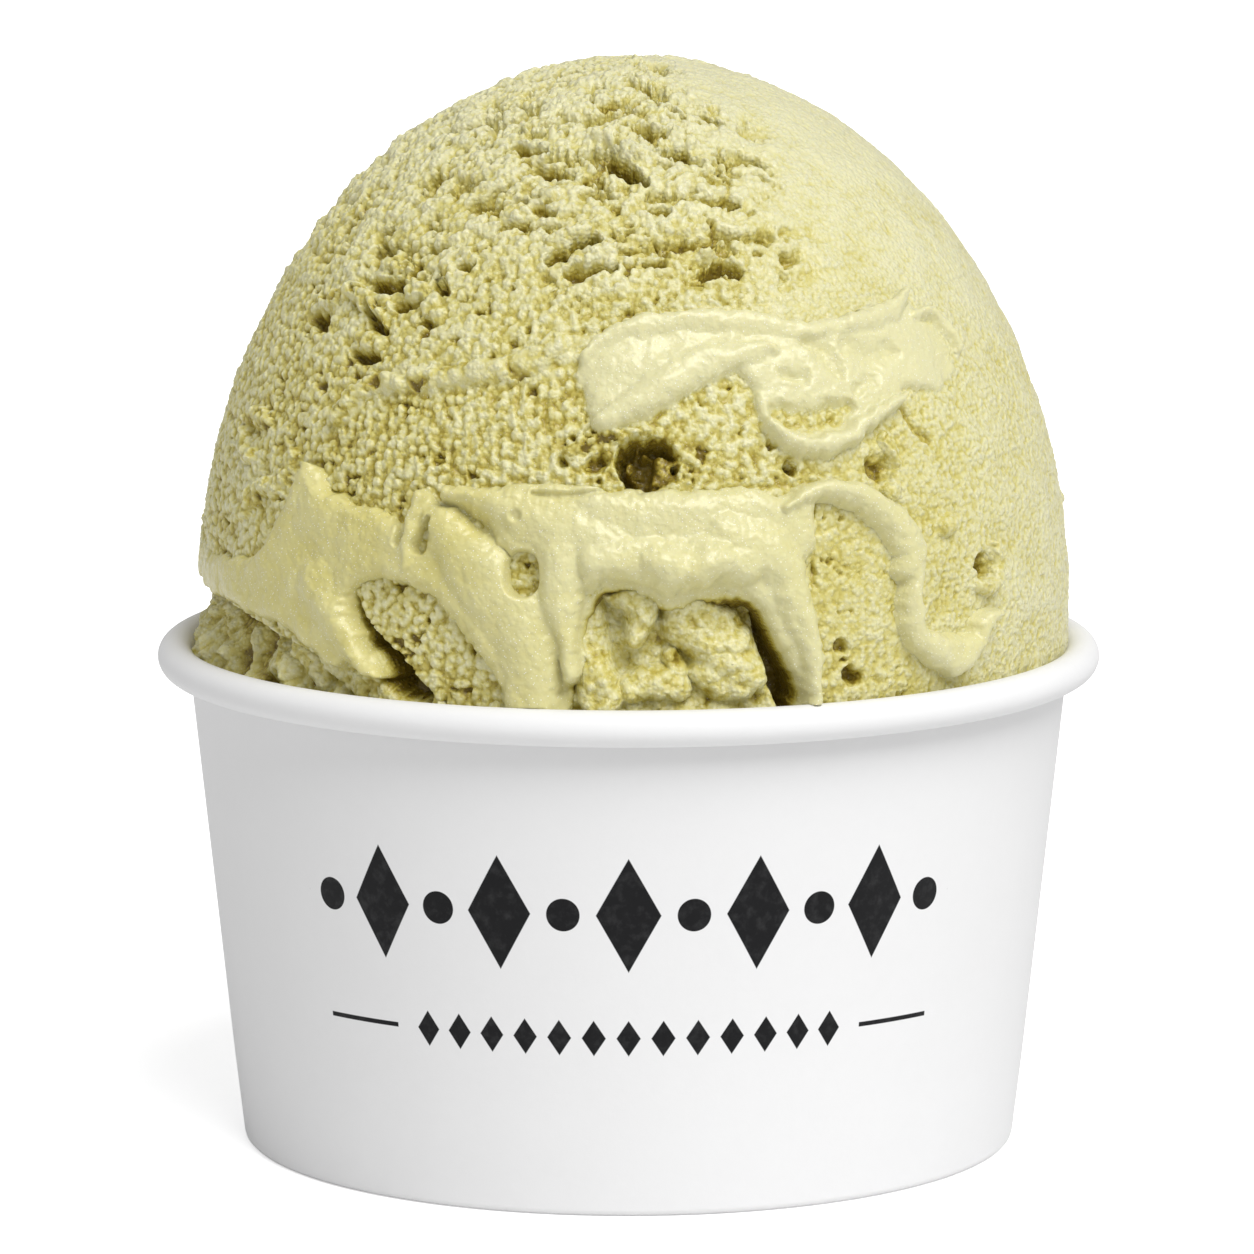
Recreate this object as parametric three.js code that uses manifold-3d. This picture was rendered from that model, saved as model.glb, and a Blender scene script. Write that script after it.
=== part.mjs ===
// Gelato cup: a squat paper cup with a rolled rim, packed with gelato and topped with one tall scoop
// whose melted lower edge is smeared down into the cup.
// Millimetres, +Z up. The origin is the centre of the foot ring, on the surface the cup stands on.
// An azimuth is 0 at the front (-Y) and +90 degrees at the right (+X).
import * as THREE from 'three';
import { mergeVertices } from 'three/addons/utils/BufferGeometryUtils.js';
import Module from 'manifold-3d';

const wasm = await Module();
wasm.setup();

// Driving dimensions of the paper cup
const RIM_DIAMETER = 90;
const CUP_HEIGHT = 48.44;
const FOOT_DIAMETER = 74.1;
const RIM_ROLL_RADIUS = 1.69;
const PAPER = 0.45;
const CLEARANCE = 0.3; // between two pieces that touch
const FLOOR_TOP = 6.4; // the raised floor's upper face
const HEM_HEIGHT = 5.6; // the wall's bottom edge, folded in and up round the floor's skirt
const ROLL_END = -125; // degrees, where the rolled edge stops short of the wall

// Driving dimensions of the gelato
const SCOOP_CENTRE_X = 0.45;
const SCOOP_EQUATOR = 52; // height of the scoop's widest level
const SCOOP_RADIUS = 41.4;
const SCOOP_RISE = 51.6; // from the widest level to the top
const SCOOP_DROP = 7.2; // from the widest level to its underside
const UNDERSIDE_POWER = 8; // how square the lower edge is
const UNEVENNESS = 0.25;
const LUMP_SIZE = 9;
const SMEAR_EDGE = 1; // a smear at least this thick bridges an open arch
const FILL_EDGE_HEIGHT = 45.6; // the packed gelato's level at the wall
const FILL_SLOPE = 1.9; // its rise for each millimetre inwards
const FILL_CROWN = 55; // its level under the scoop

// Mesh density
const CUP_COLUMNS = 60;
const ROLL_STEPS = 10;
const GELATO_COLUMNS = 88;
const FRONT_CROWDING = 0.4; // columns stand closer at the front, where the smears are finest
const SCOOP_BANDS = [ // rows between two elevations, in degrees, from the top down
  { rows: 9, from: 90, to: 48 },
  { rows: 10, from: 48, to: 22 },
  { rows: 16, from: 22, to: -9 },
  { rows: 5, from: -9, to: -90 },
];

// Smears of softened gelato: a ribbon along [azimuth, height] points
const SMEARS = [
  { path: [[-69, 57], [-57, 59], [-48, 61], [-38, 60.5], [-29, 59.5]], halfWidth: 5, thickness: 1.5 },
  { path: [[-51, 61], [-48, 69]], halfWidth: 2.6, thickness: 1.5 },
  { path: [[-44, 58], [-38.6, 53.2], [-35, 49.5]], halfWidth: 2.6, thickness: 1.6 },
  { path: [[-29, 65.5], [-24.7, 62], [-19.6, 58.5], [-14.9, 55], [-12, 46]], halfWidth: 3.4, thickness: 2 },
  { path: [[-25, 67.3], [-14, 64.7], [0, 63], [10, 63], [19, 62.8]], halfWidth: 4, thickness: 2.2 },
  { path: [[-8, 63], [-9, 57], [-11, 46]], halfWidth: 2.8, thickness: 2 },
  { path: [[18, 62.5], [20.4, 57], [22, 52], [23, 46]], halfWidth: 2.8, thickness: 2.2 },
  { path: [[19, 65], [27.8, 67.3], [34, 65.5], [38, 61.5], [37.8, 57]], halfWidth: 2.4, thickness: 1.7 },
  { path: [[37.5, 57], [37.3, 54], [41, 51], [47, 50.5], [53, 54]], halfWidth: 2.6, thickness: 1.6 },
  { path: [[-7, 78], [4, 80.5], [18, 80.5], [34, 80.5], [46, 82], [55, 79]], halfWidth: 3.6, thickness: 1.5 },
  { path: [[15, 76], [24, 72], [31, 72.5], [40, 76]], halfWidth: 3.2, thickness: 1.4 },
  { path: [[80, 58], [95, 61], [108, 62.5], [122, 60.5]], halfWidth: 4.4, thickness: 1.2 },
  { path: [[120, 61], [135, 63.5], [150, 64.5], [164, 62], [179, 60]], halfWidth: 4, thickness: 1.9 },
  { path: [[134, 62], [131, 54], [132, 46]], halfWidth: 3, thickness: 1.9 },
  { path: [[-181, 60], [-168, 62.5], [-150, 62], [-138, 59.5]], halfWidth: 4.6, thickness: 1.8 },
  { path: [[-179, 60], [-174, 52], [-176, 46]], halfWidth: 3, thickness: 1.9 },
  { path: [[-134, 58], [-118, 60], [-100, 60.5], [-86, 58]], halfWidth: 4, thickness: 1 },
  { path: [[110, 80], [128, 83], [150, 80], [172, 77]], halfWidth: 3.8, thickness: 1.4 },
];

// Open places under the smears, where the scoop stands back and the packed gelato shows:
// an arch with its crown at a height, falling away to both sides
const ARCHES = [
  { azimuth: -92, halfWidth: 52, crown: 56, fall: 5, depth: 4.6 },
  { azimuth: -25, halfWidth: 10, crown: 59, fall: 12, depth: 1.6 },
  { azimuth: 6, halfWidth: 15, crown: 60.5, fall: 9, depth: 5 },
  { azimuth: 31, halfWidth: 6, crown: 61, fall: 8, depth: 0.8 },
  { azimuth: 112, halfWidth: 16, crown: 57, fall: 8, depth: 3.6 },
  { azimuth: 158, halfWidth: 20, crown: 58, fall: 9, depth: 4.4 },
  { azimuth: -154, halfWidth: 15, crown: 57, fall: 8, depth: 4 },
];

// Round holes and pits left by the spatula
const PITS = [
  { azimuth: 1.8, height: 70.5, radius: 3.4, depth: 3.6 },
  { azimuth: -14, height: 60.3, radius: 2, depth: 1.6 },
  { azimuth: -47, height: 83.5, radius: 3.4, depth: 1 },
  { azimuth: -10.5, height: 88.7, radius: 2.8, depth: 1.1 },
  { azimuth: 15.6, height: 87.1, radius: 2.4, depth: 1.1 },
  { azimuth: 0, height: 95.8, radius: 3.2, depth: 1.2 },
  { azimuth: 141, height: 73, radius: 3, depth: 2.4 },
  { azimuth: -120, height: 80, radius: 3.4, depth: 1.2 },
];

// Worked out from the driving dimensions
const ROLL_CENTRE_RADIUS = RIM_DIAMETER / 2 - RIM_ROLL_RADIUS;
const ROLL_CENTRE_HEIGHT = CUP_HEIGHT - RIM_ROLL_RADIUS;
const FOOT_RADIUS = FOOT_DIAMETER / 2;
const WALL_TOP_RADIUS = ROLL_CENTRE_RADIUS - RIM_ROLL_RADIUS + PAPER; // outer face at the roll's centre
const WALL_LEAN = (WALL_TOP_RADIUS - FOOT_RADIUS) / ROLL_CENTRE_HEIGHT;
const ROLL_START = 180 - THREE.MathUtils.radToDeg(Math.atan(WALL_LEAN));
const CHANNEL = PAPER + 2 * CLEARANCE; // between wall and hem, where the floor's skirt stands

function wallOuterRadius(height) {
  return FOOT_RADIUS + WALL_LEAN * height;
}

function wallInnerRadius(height) {
  return wallOuterRadius(height) - PAPER;
}

function smoothStep(edge, value) {
  return THREE.MathUtils.smoothstep(value, 0, edge);
}

// Uneven lumps of the given size, between -1 and 1
function lumps(x, y, z, size) {
  const k = (2 * Math.PI) / size;
  const a = Math.sin(k * (x + 0.6 * y) + 1.3 * Math.sin(0.7 * k * z));
  const b = Math.sin(k * (0.8 * y - 0.5 * z) + 1.1 * Math.sin(0.9 * k * x + 2));
  const c = Math.sin(k * (0.9 * z + 0.4 * x) + 1.7 * Math.sin(0.6 * k * y + 4));
  return (a + b + c) / 3;
}

// A closed indexed body: shared vertices merged and the poles' flat triangles dropped
function closedBody(geometry) {
  geometry.deleteAttribute('normal');
  geometry.deleteAttribute('uv');
  const merged = mergeVertices(geometry, 1e-4);
  const index = merged.index.array;
  const kept = [];
  for (let i = 0; i < index.length; i += 3) {
    const [a, b, c] = [index[i], index[i + 1], index[i + 2]];
    if (a !== b && b !== c && c !== a) {
      kept.push(a, b, c);
    }
  }
  merged.setIndex(kept);
  return merged;
}

function revolve(profile, columns) {
  const geometry = new THREE.LatheGeometry(profile.map(([r, z]) => new THREE.Vector2(r, z)), columns);
  geometry.rotateX(Math.PI / 2);
  return geometry;
}

function arc(radius, fromDegrees, toDegrees, steps) {
  const points = [];
  for (let i = 0; i <= steps; i += 1) {
    const angle = THREE.MathUtils.degToRad(fromDegrees + ((toDegrees - fromDegrees) * i) / steps);
    const out = ROLL_CENTRE_RADIUS + radius * Math.cos(angle);
    const up = ROLL_CENTRE_HEIGHT + radius * Math.sin(angle);
    points.push([out, up]);
  }
  return points;
}

// Side wall: one sleeve of coated paper, rolled outwards at the rim and folded in and up at the foot
function cupWallGeometry() {
  const hemOuter = (height) => wallInnerRadius(height) - CHANNEL;
  const profile = [
    [FOOT_RADIUS, 0],
    ...arc(RIM_ROLL_RADIUS - PAPER, ROLL_START, ROLL_END, ROLL_STEPS),
    ...arc(RIM_ROLL_RADIUS, ROLL_END, ROLL_START, ROLL_STEPS),
    [wallInnerRadius(PAPER), PAPER],
    [hemOuter(PAPER), PAPER],
    [hemOuter(HEM_HEIGHT), HEM_HEIGHT],
    [hemOuter(HEM_HEIGHT) - PAPER, HEM_HEIGHT],
    [hemOuter(0) - PAPER, 0],
    [FOOT_RADIUS, 0],
  ];
  return closedBody(revolve(profile, CUP_COLUMNS));
}

// Floor: a paper disc with its edge turned down into the wall's folded hem
function cupFloorGeometry() {
  const skirtFoot = PAPER + CLEARANCE;
  const skirtOuter = (height) => wallInnerRadius(height) - CLEARANCE;
  const profile = [
    [0, FLOOR_TOP - PAPER],
    [skirtOuter(FLOOR_TOP - PAPER) - PAPER, FLOOR_TOP - PAPER],
    [skirtOuter(skirtFoot) - PAPER, skirtFoot],
    [skirtOuter(skirtFoot), skirtFoot],
    [skirtOuter(FLOOR_TOP), FLOOR_TOP],
    [0, FLOOR_TOP],
  ];
  return closedBody(revolve(profile, CUP_COLUMNS));
}

// Horizontal radius of the plain scoop at a height above its widest level
function scoopRadiusAt(height) {
  const t = THREE.MathUtils.clamp((height - SCOOP_EQUATOR) / SCOOP_RISE, 0, 1);
  return SCOOP_RADIUS * Math.sqrt(Math.max(1 - t * t, 0.01));
}

function turnBetween(azimuth, other) {
  return THREE.MathUtils.euclideanModulo(azimuth - other + 180, 360) - 180;
}

// Distance over the scoop's surface from one place to a ribbon's path
function distanceToPath(azimuth, height, path) {
  const millimetresPerDegree = THREE.MathUtils.degToRad(scoopRadiusAt(height));
  let nearest = Infinity;
  for (let i = 0; i + 1 < path.length; i += 1) {
    const ax = turnBetween(path[i][0], azimuth) * millimetresPerDegree;
    const az = path[i][1] - height;
    const dx = (path[i + 1][0] - path[i][0]) * millimetresPerDegree;
    const dz = path[i + 1][1] - path[i][1];
    const along = THREE.MathUtils.clamp(-(ax * dx + az * dz) / (dx * dx + dz * dz), 0, 1);
    nearest = Math.min(nearest, Math.hypot(ax + along * dx, az + along * dz));
  }
  return nearest;
}

function smearThickness(azimuth, height) {
  let raised = 0;
  for (const { path, halfWidth, thickness } of SMEARS) {
    const inside = 1 - distanceToPath(azimuth, height, path) / (halfWidth + 1);
    raised = Math.max(raised, thickness * smoothStep(0.55, inside));
  }
  return raised;
}

function archDepth(azimuth, height) {
  let sunk = 0;
  for (const { azimuth: centre, halfWidth, crown, fall, depth } of ARCHES) {
    const across = Math.abs(turnBetween(azimuth, centre)) / halfWidth;
    const roof = crown - fall * across * across;
    const within = smoothStep(0.25, 1.12 - across);
    sunk = Math.max(sunk, depth * within * smoothStep(2, roof - height));
  }
  return sunk;
}

function pitDepth(azimuth, height) {
  const millimetresPerDegree = THREE.MathUtils.degToRad(scoopRadiusAt(height));
  let sunk = 0;
  for (const { azimuth: centre, height: level, radius, depth } of PITS) {
    const away = Math.hypot(turnBetween(azimuth, centre) * millimetresPerDegree, height - level);
    sunk = Math.max(sunk, depth * smoothStep(0.8, 1 - away / radius));
  }
  return sunk;
}

// Inside the cup the gelato keeps clear of the wall and of the rolled rim
function roomAt(height) {
  const clear = RIM_ROLL_RADIUS + CLEARANCE;
  const above = height - ROLL_CENTRE_HEIGHT;
  if (above >= clear) {
    return Infinity;
  }
  if (above <= 0) {
    return wallInnerRadius(height) - CLEARANCE;
  }
  return ROLL_CENTRE_RADIUS - Math.sqrt(clear * clear - above * above);
}

// Radius of the plain scoop along a ray from its centre
function plainScoopReach(elevation) {
  const out = Math.cos(elevation);
  const up = Math.sin(elevation);
  if (up >= 0) {
    return 1 / Math.hypot(out / SCOOP_RADIUS, up / SCOOP_RISE);
  }
  const n = UNDERSIDE_POWER;
  return ((out / SCOOP_RADIUS) ** n + (-up / SCOOP_DROP) ** n) ** (-1 / n);
}

// A point of the scoop's surface, moved outwards by swell
function scoopPoint(azimuth, elevation, swell) {
  const turn = THREE.MathUtils.degToRad(azimuth);
  const tilt = THREE.MathUtils.degToRad(elevation);
  const plain = plainScoopReach(tilt);
  const height = SCOOP_EQUATOR + plain * Math.sin(tilt);
  const side = smoothStep(0.5, Math.cos(tilt)); // no relief at the two poles
  const smear = smearThickness(azimuth, height);
  const uncovered = 1 - smoothStep(SMEAR_EDGE, smear);
  const relief = smear
    - uncovered * archDepth(azimuth, height)
    - pitDepth(azimuth, height)
    + UNEVENNESS * lumps(plain * Math.sin(turn), plain * Math.cos(turn), height, LUMP_SIZE);
  let reach = plain + side * relief + swell;
  const place = (length) => new THREE.Vector3(
    SCOOP_CENTRE_X + length * Math.cos(tilt) * Math.sin(turn),
    -length * Math.cos(tilt) * Math.cos(turn),
    SCOOP_EQUATOR + length * Math.sin(tilt),
  );
  for (let step = 0; step < 40 && swell === 0; step += 1) {
    const point = place(reach);
    if (Math.hypot(point.x, point.y) <= roomAt(point.z)) {
      break;
    }
    reach -= 0.15;
  }
  return place(reach);
}

function scoopElevation(row) {
  let passed = 0;
  for (const { rows, from, to } of SCOOP_BANDS) {
    if (row <= passed + rows) {
      return from + ((to - from) * (row - passed)) / rows;
    }
    passed += rows;
  }
  return -90;
}

function crowdedAzimuth(column) {
  const even = (2 * Math.PI * column) / GELATO_COLUMNS - Math.PI;
  return THREE.MathUtils.radToDeg(even - FRONT_CROWDING * Math.sin(even));
}

// Scoop: one tall ball with its smears, pits and open arches
function scoopGeometry(swell) {
  const rows = SCOOP_BANDS.reduce((sum, band) => sum + band.rows, 0);
  const geometry = new THREE.SphereGeometry(1, GELATO_COLUMNS, rows);
  const position = geometry.attributes.position;
  for (let i = 0; i < position.count; i += 1) {
    const column = i % (GELATO_COLUMNS + 1);
    const row = Math.floor(i / (GELATO_COLUMNS + 1));
    const point = scoopPoint(crowdedAzimuth(column % GELATO_COLUMNS), scoopElevation(row), swell);
    position.setXYZ(i, point.x, point.y, point.z);
  }
  return closedBody(geometry);
}

function asSolid(geometry) {
  return new wasm.Manifold(new wasm.Mesh({
    numProp: 3,
    vertProperties: Float32Array.from(geometry.attributes.position.array),
    triVerts: Uint32Array.from(geometry.index.array),
  }));
}

function asGeometry(solid) {
  const mesh = solid.getMesh();
  const geometry = new THREE.BufferGeometry();
  geometry.setAttribute('position', new THREE.BufferAttribute(mesh.vertProperties, 3));
  geometry.setIndex(new THREE.BufferAttribute(mesh.triVerts, 1));
  return geometry;
}

// Packed gelato: fills the cup, rises in ridges and lumps to the scoop, and is cut by the scoop with a gap
function fillGeometry() {
  const floor = FLOOR_TOP + CLEARANCE;
  const edge = wallInnerRadius(FILL_EDGE_HEIGHT) - CLEARANCE;
  const slopeRows = 5;
  const crownRadius = edge - (FILL_CROWN - FILL_EDGE_HEIGHT) / FILL_SLOPE;
  const profile = [
    [0, floor],
    [wallInnerRadius(floor) - CLEARANCE, floor],
    [wallInnerRadius(24) - CLEARANCE, 24],
    [edge, FILL_EDGE_HEIGHT],
  ];
  const firstSloped = profile.length;
  for (let row = 1; row <= slopeRows; row += 1) {
    const share = row / slopeRows;
    const radius = edge + (crownRadius - edge) * share;
    profile.push([radius, FILL_EDGE_HEIGHT + (FILL_CROWN - FILL_EDGE_HEIGHT) * share]);
  }
  profile.push([0, FILL_CROWN]);
  const geometry = revolve(profile, GELATO_COLUMNS);
  const position = geometry.attributes.position;
  for (let i = 0; i < position.count; i += 1) {
    const row = i % profile.length;
    const column = Math.floor(i / profile.length) % GELATO_COLUMNS;
    const azimuth = crowdedAzimuth(column);
    const turn = THREE.MathUtils.degToRad(azimuth);
    let [radius, height] = profile[row];
    if (row >= firstSloped && row < profile.length - 1) {
      const ridges = Math.sin(THREE.MathUtils.degToRad(azimuth * 22) + height);
      const chunk = lumps(radius * Math.sin(turn), radius * Math.cos(turn), height, 5);
      height += 0.9 * chunk;
      radius += 0.5 * ridges;
      radius = Math.min(radius, roomAt(height));
    }
    position.setXYZ(i, radius * Math.sin(turn), -radius * Math.cos(turn), height);
  }
  const cut = asSolid(closedBody(geometry)).subtract(asSolid(scoopGeometry(CLEARANCE + 0.05)));
  const largest = cut.decompose().sort((a, b) => b.volume() - a.volume())[0];
  return asGeometry(largest);
}

function part(name, geometry, color, roughness) {
  const material = new THREE.MeshStandardMaterial({ color, roughness, metalness: 0 });
  const mesh = new THREE.Mesh(geometry, material);
  mesh.name = name;
  return mesh;
}

const gelatoCup = new THREE.Group();
gelatoCup.add(
  part('cup_wall', cupWallGeometry(), 0xf1f0f0, 0.55),
  part('cup_floor', cupFloorGeometry(), 0xeeedeb, 0.6),
  part('gelato_fill', fillGeometry(), 0xd3ce8c, 0.45),
  part('gelato_scoop', scoopGeometry(0), 0xdcd8a0, 0.4),
);

export default gelatoCup;
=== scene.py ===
import math
from itertools import product

import bpy
import numpy as np
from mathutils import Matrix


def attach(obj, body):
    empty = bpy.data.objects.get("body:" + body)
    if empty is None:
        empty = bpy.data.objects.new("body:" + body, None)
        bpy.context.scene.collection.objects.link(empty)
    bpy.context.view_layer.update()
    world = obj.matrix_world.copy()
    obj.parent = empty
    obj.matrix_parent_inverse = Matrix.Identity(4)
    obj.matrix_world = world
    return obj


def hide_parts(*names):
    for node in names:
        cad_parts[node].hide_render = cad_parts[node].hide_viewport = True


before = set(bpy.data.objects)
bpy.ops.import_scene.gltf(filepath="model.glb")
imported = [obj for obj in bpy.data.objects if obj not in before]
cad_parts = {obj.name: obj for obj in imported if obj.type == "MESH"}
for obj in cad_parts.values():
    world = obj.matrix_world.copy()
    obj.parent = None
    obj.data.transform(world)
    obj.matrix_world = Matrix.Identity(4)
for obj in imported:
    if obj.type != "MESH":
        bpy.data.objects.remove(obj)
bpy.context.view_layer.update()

bpy.ops.object.select_all(action="DESELECT")

# ---------------------------------------------------------------------------
# Camera, level with the scoop and looking a little down on the cup
# ---------------------------------------------------------------------------
CAMERA_AWAY = 0.7557
CAMERA_HEIGHT = 0.1718
CAMERA_SIDE = -0.00015
CAMERA_PITCH = 0.161
CAMERA_LENS = 229.7

bpy.ops.object.camera_add(
    location=(CAMERA_SIDE, -CAMERA_AWAY, CAMERA_HEIGHT),
    rotation=(math.pi / 2 - CAMERA_PITCH, 0, 0),
)
camera = bpy.context.object
camera.data.sensor_width = 36
camera.data.lens = CAMERA_LENS
camera.data.clip_start = 0.01
bpy.context.scene.camera = camera

# ---------------------------------------------------------------------------
# Cup wall: one sleeve of white coated board. Its top edge is rolled outwards into the rim and
# its bottom edge is folded in and up round the floor's skirt.
# ---------------------------------------------------------------------------
MM = 0.001
CUP_SIDES = 256
BOARD = 0.45 * MM
RIM_RADIUS = 45 * MM
ROLL_RADIUS = 1.69 * MM
ROLL_CENTRE = RIM_RADIUS - ROLL_RADIUS
ROLL_HEIGHT = 46.75 * MM
FOOT_RADIUS = 37.05 * MM
WALL_TOP_RADIUS = ROLL_CENTRE - ROLL_RADIUS + BOARD
WALL_LEAN = (WALL_TOP_RADIUS - FOOT_RADIUS) / ROLL_HEIGHT
HEM_WIDTH = 1.95 * MM
HEM_HEIGHT = 5.6 * MM
FOLD_RADIUS = 0.5 * MM
CUT_EDGE = 0.08 * MM  # how far a cut edge of the board is rounded
ROLL_START = math.pi - math.atan(WALL_LEAN)
ROLL_END = math.radians(-125)
ROLL_STEPS = 28


def wall_outer(height):
    return FOOT_RADIUS + WALL_LEAN * height


def ride_on_cup(piece, slot, *nodes):
    piece.data.name = piece.name
    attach(piece, "root")
    if nodes:
        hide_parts(*nodes)


def give_material(piece, material):
    piece.data.materials.clear()
    piece.data.materials.append(material)


def apply_modifiers(piece):
    bpy.context.view_layer.objects.active = piece
    piece.select_set(True)
    for modifier in list(piece.modifiers):
        bpy.ops.object.modifier_apply(modifier=modifier.name)
    piece.select_set(False)


def turned_sheet(name, path, sides=CUP_SIDES):
    """A sheet turned round the cup's axis: a ring of edges drawn out along a path of (radius, height)."""
    radius, height = path[0]
    bpy.ops.mesh.primitive_circle_add(vertices=sides, radius=radius, location=(0, 0, height))
    piece = bpy.context.object
    piece.name = name
    bpy.ops.object.transform_apply(location=True, rotation=True, scale=True)
    bpy.ops.object.mode_set(mode="EDIT")
    for next_radius, next_height in path[1:]:
        bpy.ops.mesh.extrude_region_move(TRANSFORM_OT_translate={"value": (0, 0, next_height - height)})
        grow = next_radius / radius
        bpy.ops.transform.resize(value=(grow, grow, 1), center_override=(0, 0, next_height))
        radius, height = next_radius, next_height
    return piece


def finish_sheet(piece, thickness, edge):
    """Gives the sheet its thickness and softens its cut edges."""
    bpy.ops.mesh.select_all(action="SELECT")
    bpy.ops.mesh.normals_make_consistent(inside=False)
    bpy.ops.object.mode_set(mode="OBJECT")
    thicken = piece.modifiers.new("board", "SOLIDIFY")
    thicken.thickness = thickness
    thicken.offset = 0
    thicken.use_even_offset = True
    soften = piece.modifiers.new("cut edges", "BEVEL")
    soften.width = edge
    soften.segments = 2
    soften.limit_method = "ANGLE"
    soften.angle_limit = math.radians(50)
    apply_modifiers(piece)
    piece.select_set(True)
    bpy.ops.object.shade_smooth_by_angle(angle=math.radians(40))
    piece.select_set(False)


hem_radius = FOOT_RADIUS - HEM_WIDTH + BOARD / 2
wall_path = [
    (hem_radius + WALL_LEAN * HEM_HEIGHT, HEM_HEIGHT),
    (hem_radius + WALL_LEAN * FOLD_RADIUS, FOLD_RADIUS + BOARD / 2),
]
for step in range(1, 4):
    bend = math.radians(30 * step)
    wall_path.append((hem_radius + FOLD_RADIUS * (1 - math.cos(bend)),
                      BOARD / 2 + FOLD_RADIUS * (1 - math.sin(bend))))
outer_turn = FOOT_RADIUS - BOARD / 2 - FOLD_RADIUS
for step in range(0, 4):
    bend = math.radians(30 * step)
    wall_path.append((outer_turn + FOLD_RADIUS * math.sin(bend),
                      BOARD / 2 + FOLD_RADIUS * (1 - math.cos(bend))))
for height in (8 * MM, 16 * MM, 24 * MM, 32 * MM, 40 * MM):
    wall_path.append((wall_outer(height) - BOARD / 2, height))
for step in range(ROLL_STEPS + 1):
    turn = ROLL_START + (ROLL_END - ROLL_START) * step / ROLL_STEPS
    reach = ROLL_RADIUS - BOARD / 2
    wall_path.append((ROLL_CENTRE + reach * math.cos(turn), ROLL_HEIGHT + reach * math.sin(turn)))

cup_wall = turned_sheet("cup_wall_board", wall_path)
finish_sheet(cup_wall, BOARD, CUT_EDGE)


class Node:
    """A socket of a material's node tree. Arithmetic on it adds the Math nodes that it needs."""

    def __init__(self, tree, socket):
        self.tree = tree
        self.socket = socket

    def make(self, kind, inputs=(), output=0, **settings):
        """Adds a node, sets it up, fills its inputs by name or place, and gives back one of its outputs."""
        node = self.tree.nodes.new(kind)
        for key, value in settings.items():
            if key == "stops":
                self.set_stops(node.color_ramp, value)
            else:
                setattr(node, key, value)
        pairs = inputs.items() if isinstance(inputs, dict) else enumerate(inputs)
        for key, value in pairs:
            if isinstance(value, Node):
                self.tree.links.new(value.socket, node.inputs[key])
            elif value is not None:
                node.inputs[key].default_value = value
        return Node(self.tree, node.outputs[output])

    @staticmethod
    def set_stops(ramp, stops):
        while len(ramp.elements) < len(stops):
            ramp.elements.new(1)
        for element, (position, color) in zip(ramp.elements, stops):
            element.position = position
            element.color = (*color, 1)

    def maths(self, operation, *values, clamp=False):
        return self.make("ShaderNodeMath", values, operation=operation, use_clamp=clamp)

    def __add__(self, other):
        return self.maths("ADD", self, other)

    def __sub__(self, other):
        return self.maths("SUBTRACT", self, other)

    def __mul__(self, other):
        return self.maths("MULTIPLY", self, other)

    def __truediv__(self, other):
        return self.maths("DIVIDE", self, other)

    def __radd__(self, other):
        return self.maths("ADD", other, self)

    def __rsub__(self, other):
        return self.maths("SUBTRACT", other, self)

    def __rmul__(self, other):
        return self.maths("MULTIPLY", other, self)

    def clamped(self):
        return self.maths("ADD", self, 0, clamp=True)

    def at_least(self, other):
        return self.maths("MAXIMUM", self, other)

    def size(self):
        return self.maths("ABSOLUTE", self)

    def within(self, limit, edge):
        """1 where this value's size is under the limit, falling to 0 over the edge."""
        return ((limit - self.size()) / edge + 0.5).clamped()

    def blend(self, first, second):
        """A colour mixed by this value, from first at 0 to second at 1."""
        return self.make(
            "ShaderNodeMix", {0: self, 6: first, 7: second}, output=2, data_type="RGBA",
        )


def new_material(name):
    """A material with only its surface shader, and a Node on the object's own coordinates."""
    material = bpy.data.materials.new(name)
    material.use_nodes = True
    tree = material.node_tree
    shader = tree.nodes["Principled BSDF"]
    coordinates = tree.nodes.new("ShaderNodeTexCoord").outputs["Object"]
    return material, shader, Node(tree, coordinates)


def drive(shader, socket, node):
    node.tree.links.new(node.socket, shader.inputs[socket])


BOARD_SHADE = (0.785, 0.783, 0.785, 1)
BOARD_WHITE = (0.82, 0.82, 0.822, 1)
INK = (0.009, 0.009, 0.01, 1)


def board_material(name, ink_mask=None):
    """White board with a thin coating: a faint mottle of fibres under it and a satin surface."""
    material, shader, place = new_material(name)
    fibres = {"Vector": place, "Scale": 900, "Detail": 4, "Roughness": 0.6}
    fibres = place.make("ShaderNodeTexNoise", fibres)
    mottle = place.make("ShaderNodeTexNoise", {"Vector": place, "Scale": 140, "Detail": 3})
    tone = (mottle * 0.5 + fibres * 0.5).clamped()
    color = tone.blend(BOARD_SHADE, BOARD_WHITE)
    rough = 0.42 + fibres * 0.18
    if ink_mask is not None:
        inked = ink_mask(place, fibres)
        color = inked.blend(color, INK)
        rough = rough - inked * 0.1
    drive(shader, "Base Color", color)
    drive(shader, "Roughness", rough)
    height = fibres * 0.6 + mottle * 0.4
    bump = place.make("ShaderNodeBump", {"Height": height, "Strength": 0.25, "Distance": 0.12 * MM})
    drive(shader, "Normal", bump)
    shader.inputs["Specular IOR Level"].default_value = 0.15
    return material


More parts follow.
